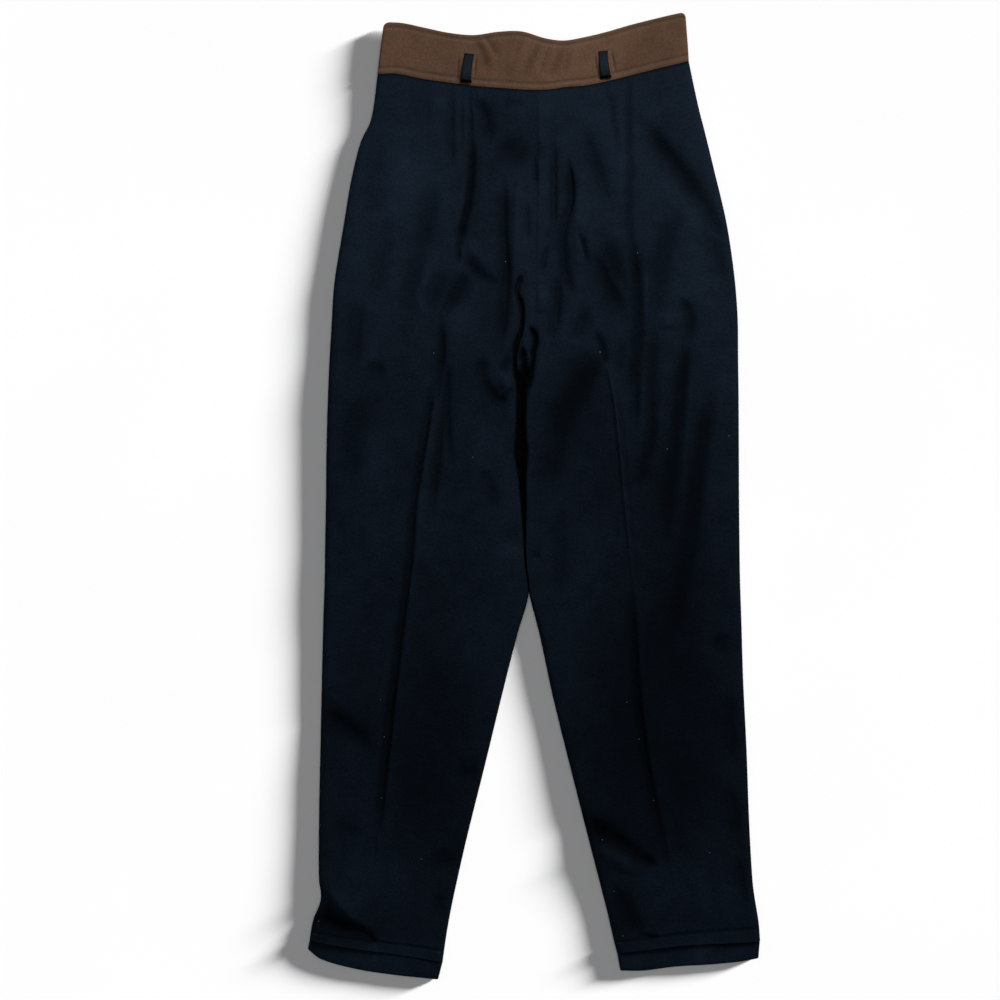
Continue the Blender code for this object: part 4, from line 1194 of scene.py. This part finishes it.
def belt_loop(name, node, loop, start, direction, arch, material):
    """A strap with rounded sides, sewn flat at the top and standing off at its lower end."""
    top, low = Vector((loop.top_x, loop.top_y)), Vector((loop.low_x, loop.low_y))
    across = (low - top).orthogonal().normalized()
    along = np.linspace(0.0, 1.0, LOOP_ROWS)[:, None]
    side = np.linspace(-1.0, 1.0, LOOP_COLUMNS)[None, :]
    turned = rising(along, *LOOP_TURNED)
    half = LOOP_WIDTH / 2 * (1 - LOOP_NARROWER * np.sin(2 * math.pi * along) + LOOP_FLARE * turned)
    sway = LOOP_SWAY * np.sin(math.pi * along)
    x = mix(top.x, low.x, along * LOOP_LONGER) + across.x * side * half - sway
    y = mix(top.y, low.y, along * LOOP_LONGER) + across.y * side * half
    bow = arch * np.sin(math.pi * LOOP_BOW_END * along**LOOP_BOW_LOW) + 0 * side
    crown = np.sqrt(np.maximum(0.0, 1 - side**LOOP_SIDE_ROUND)) + 0 * along
    inner = start + direction * bow
    outer = inner + direction * LOOP_WALL * mix(LOOP_SIDE_WALL, 1.0, crown)
    shown, hidden = np.stack([x, y, outer], axis=2), np.stack([x, y, inner], axis=2)
    grain = np.stack([side * LOOP_WIDTH / 2 + 0 * along, along * -LOOP_LENGTH + 0 * side], axis=2)
    # Painted shade along the strap's sides and at its top end, nearly black where its lower end turns
    # under
    at_sides = LOOP_EDGE_SHADE * fade((1 - np.abs(side)) * half, LOOP_SIDE_LINE)
    at_top = LOOP_EDGE_SHADE * fade(along * LOOP_LENGTH, LOOP_TOP_LINE)
    painted_shading = 1 - (1 - at_sides) * (1 - at_top) * (1 - LOOP_TURNED_SHADE * turned)
    return cloth_wall(name, node, shown, hidden, grain, painted_shading, material)


def belt_loops(loop, material):
    sides = (
        ("back", BACK_BAND + SEAM_GAP, 1, LOOP_ARCH),
        ("front", FRONT_BAND - SEAM_GAP, -1, LOOP_ARCH_UNDER),
    )
    return [belt_loop(f"{loop.name}_{side}_loop", f"loop_{side}_{loop.name}", loop, *place, material)
            for side, *place in sides]


def stitch_row(mesh, points):
    """Short threads laid end to end along the points, at the points' heights."""
    spots = [Vector(p) for p in points]
    travelled = 0.0
    for a, b in zip(spots, spots[1:]):
        run = b - a
        while travelled + STITCH <= run.length:
            middle = a + run.normalized() * (travelled + STITCH / 2)
            turn = run.to_track_quat("Z", "Y").to_matrix().to_4x4()
            turn.translation = Vector((middle.x + SHIFT_X, middle.y + SHIFT_Y, middle.z)) * MM
            bmesh.ops.create_cone(
                mesh, cap_ends=True, segments=STITCH_SIDES, radius1=STITCH_RADIUS * MM,
                radius2=STITCH_RADIUS * MM, depth=STITCH * MM, matrix=turn,
            )
            travelled += STITCH + STITCH_GAP
        travelled -= run.length


def band_stitches(name, start, end, side, inset, height, material):
    """A row of topstitching along one edge of the waistband."""
    mesh = bmesh.new()
    low_x = np.linspace(start, end, STITCH_SAMPLES)
    depth = along_band(WAISTBAND, low_x, 0.0)[2]
    down = inset / depth if side == "top" else 1 - inset / depth
    x, y, _ = along_band(WAISTBAND, low_x, down)
    stitch_row(mesh, np.stack([x, y, height(low_x, x, y)], axis=1))
    return finished(name, mesh, material)


def topstitching(material):
    left, right = WAISTBAND[0].low_x + STITCH_FROM_END, WAISTBAND[-1].low_x - STITCH_FROM_END
    sunk = STITCH_SINK - STITCH_RADIUS * STITCH_BURIED

    def on_back(low_x, x, y):
        return back_band_face(low_x) - sunk + fold_height(BAND_FOLDS, x, y)

    def on_front(low_x, x, y):
        return FRONT_BAND + sunk + 0 * low_x

    return [
        band_stitches(f"{where}_topstitch_{side}", start, end, side, inset, height, material)
        for side, inset in STITCH_ROWS
        for where, start, end, height in (
            ("back_band", left, right, on_back),
            ("left_front_band", left, LAP_TO - STITCH_FROM_LAP, on_front),
            ("right_front_band", LAP_END + LAP_RAMP, right, on_front),
        )
    ]


def add(tree, kind, links=(), **settings):
    """A node with its settings, and its inputs as (input, value or output socket)."""
    node = tree.nodes.new(kind)
    for key, value in settings.items():
        setattr(node, key, value)
    for socket, value in links:
        if isinstance(value, bpy.types.NodeSocket):
            tree.links.new(value, node.inputs[socket])
        else:
            node.inputs[socket].default_value = value
    return node


def maths(tree, operation, *values):
    return add(tree, "ShaderNodeMath", enumerate(values), operation=operation).outputs[0]


def blend(tree, share, first, second):
    links = [("Factor", share), (6, first), (7, second)]
    return add(tree, "ShaderNodeMix", links, data_type="RGBA").outputs[2]


def new_group(name, inputs, outputs):
    group = bpy.data.node_groups.new(name, "ShaderNodeTree")
    for in_out, sockets in (("INPUT", inputs), ("OUTPUT", outputs)):
        for label, kind in sockets:
            group.interface.new_socket(label, in_out=in_out, socket_type=f"NodeSocket{kind}")
    return group, group.nodes.new("NodeGroupInput").outputs, group.nodes.new("NodeGroupOutput").inputs


def lint_specks(group, place, amount):
    """1 on a few caught specks of lint."""
    cells = add(group, "ShaderNodeTexVoronoi", [("Vector", place), ("Scale", LINT_SPREAD)],
                voronoi_dimensions="2D")
    parts = add(group, "ShaderNodeSeparateColor", [(0, cells.outputs["Color"])])
    dot = maths(group, "LESS_THAN", cells.outputs["Distance"], LINT_SIZE)
    chosen = maths(group, "GREATER_THAN", parts.outputs[0], LINT_LEFT_OUT)
    return maths(group, "MULTIPLY", maths(group, "MULTIPLY", dot, chosen), amount)


def wool_group():
    """Napped wool: a fine twill under a short nap, uneven dye, and a few caught specks of lint, with
    painted shade and painted highlight laid over its colour.
    """
    values = ("Painted shade", "Twill", "Lint", "Unevenness")
    inputs = [("Place", "Vector"), ("Cloth", "Color"), *((name, "Float") for name in values)]
    group, given, result = new_group("napped_wool", inputs, [("Color", "Color"), ("Height", "Float")])
    place = given["Place"]

    turn = (0, 0, math.radians(TWILL_ANGLE))
    turned = add(group, "ShaderNodeMapping", [("Vector", place), ("Rotation", turn)])
    twill = add(group, "ShaderNodeTexWave", [("Vector", turned.outputs[0]), *TWILL])
    ribs = maths(group, "MULTIPLY", given["Twill"], TWILL_HEIGHT)
    height = maths(group, "MULTIPLY", twill.outputs["Fac"], ribs)
    tone = 1.0
    for grain in GRAINS:
        links = [("Vector", place), ("Scale", grain.scale), ("Detail", grain.detail),
                 ("Roughness", grain.roughness)]
        noise = add(group, "ShaderNodeTexNoise", links).outputs["Fac"]
        if grain.height:
            height = maths(group, "MULTIPLY_ADD", noise, grain.height, height)
        swing = maths(group, "MULTIPLY_ADD", noise, grain.tone, -grain.tone / 2)
        tone = maths(group, "MULTIPLY_ADD", swing, given["Unevenness"], tone)
    group.links.new(height, result["Height"])

    # The painted shading darkens the cloth's colour, and lightens it as painted highlight where below 0
    painted_light_share = maths(group, "MULTIPLY_ADD", given["Painted shade"], -PAINTED_SHADE_STRENGTH, 1.0)
    painted_light_share = maths(group, "MAXIMUM", painted_light_share, DARKEST_PAINTED_SHADE)
    tone = maths(group, "MULTIPLY", maths(group, "MAXIMUM", tone, DARKEST_TONE), painted_light_share)
    cloth = add(group, "ShaderNodeVectorMath", [(0, given["Cloth"]), ("Scale", tone)], operation="SCALE")
    lint = lint_specks(group, place, given["Lint"])
    group.links.new(blend(group, lint, cloth.outputs[0], LINT_COLOR), result["Color"])
    return group


def new_material(name, **finish):
    """A material, its nodes, and its shader with the finish given by the sockets' names."""
    material = bpy.data.materials.new(name)
    material.use_nodes = True
    tree = material.node_tree
    shader = tree.nodes["Principled BSDF"]
    for label, value in finish.items():
        shader.inputs[label.replace("_", " ")].default_value = value
    return material, tree, shader


def wool(group, style):
    material, tree, shader = new_material(
        style.name, Roughness=WOOL_ROUGHNESS, Specular_IOR_Level=WOOL_SPECULAR,
        Sheen_Weight=style.sheen, Sheen_Roughness=SHEEN_ROUGHNESS, Sheen_Tint=style.sheen_tint,
    )
    grain = add(tree, "ShaderNodeAttribute", attribute_name="grain")
    painted_shading = add(tree, "ShaderNodeAttribute", attribute_name="painted_shading")
    links = [("Place", grain.outputs["Vector"]), ("Painted shade", painted_shading.outputs["Fac"]),
             ("Cloth", style.color), ("Twill", style.twill), ("Lint", style.lint),
             ("Unevenness", style.unevenness)]
    cloth = add(tree, "ShaderNodeGroup", links, node_tree=group)
    bump = add(tree, "ShaderNodeBump", [("Strength", BUMP_STRENGTH), ("Distance", BUMP_METRES),
                                        ("Height", cloth.outputs["Height"])])
    tree.links.new(cloth.outputs["Color"], shader.inputs["Base Color"])
    tree.links.new(bump.outputs["Normal"], shader.inputs["Normal"])
    return material


def two_tones(finish):
    material, tree, shader = new_material(
        finish.name, Roughness=finish.roughness, Specular_IOR_Level=finish.specular,
    )
    place = add(tree, "ShaderNodeTexCoord").outputs["Object"]
    swing = add(tree, f"ShaderNodeTex{finish.texture}", [("Vector", place), *finish.settings])
    tone = blend(tree, swing.outputs["Fac"], finish.dark, finish.light)
    tree.links.new(tone, shader.inputs["Base Color"])
    return material


def floor():
    mesh = bmesh.new()
    bmesh.ops.create_grid(mesh, x_segments=1, y_segments=1, size=FLOOR_SIZE)
    bmesh.ops.translate(mesh, verts=mesh.verts, vec=(0.0, 0.0, -FLOOR_DROP))
    obj = mesh_object("table_top", mesh, two_tones(PALE_FLOOR))
    return obj


def lamp(row, lit):
    """A lamp that shines on the pieces in lit alone."""
    data = bpy.data.lights.new(row.name, row.kind)
    data.energy = row.power
    for key, value in row.shape.items():
        setattr(data, key, value)
    obj = linked(row.name, data)
    obj.location = row.place
    obj.rotation_euler = Vector(row.toward).to_track_quat("-Z", "Y").to_euler()
    obj.light_linking.receiver_collection = lit


def lights(ground):
    """The garment has its own lamps. The table has a low soft sun and a weak one from above."""
    only_table = bpy.data.collections.new("table_alone")
    all_but_table = bpy.data.collections.new("all_but_table")
    for group in (only_table, all_but_table):
        group.objects.link(ground)
    all_but_table.collection_objects[0].light_linking.link_state = "EXCLUDE"
    for rows, lit in ((GARMENT_LAMPS, all_but_table), (TABLE_LAMPS, only_table)):
        for row in rows:
            lamp(row, lit)

    world = bpy.data.worlds.new("studio")
    world.use_nodes = True
    room = world.node_tree.nodes["Background"]
    room.inputs["Color"].default_value = ROOM_COLOR
    room.inputs["Strength"].default_value = ROOM_LIGHT
    bpy.context.scene.world = world


def camera():
    """Straight above, as the photo was taken, framing 1.07 mm of the table to a pixel."""
    data = bpy.data.cameras.new("camera")
    data.lens = LENS
    data.sensor_width = SENSOR
    height = PICTURE * MM_PER_PIXEL * LENS / SENSOR
    x = (PICTURE / 2 - AXIS_PIXEL_X) * MM_PER_PIXEL + SHIFT_X
    y = (AXIS_PIXEL_Y - PICTURE / 2) * MM_PER_PIXEL + SHIFT_Y
    obj = linked("camera", data)
    obj.location = (x * MM, y * MM, (height + PANEL_FACE) * MM)
    bpy.context.scene.camera = obj


def dress():
    group = wool_group()
    navy, brown, strap = [wool(group, style) for style in WOOLS]
    backs = [back_panel(leg, navy) for leg in LEGS]
    fronts = [front_panel(leg, navy) for leg in LEGS]
    bands = waistbands(brown)
    hems = [hem_bands(leg, navy) for leg in LEGS]
    loops = [belt_loops(loop, strap) for loop in LOOPS]
    topstitching(two_tones(THREAD))
    bpy.data.objects["button"].data.materials[0] = two_tones(HORN)


dress()
lights(floor())
camera()
bpy.context.scene.view_settings.view_transform = "Standard"
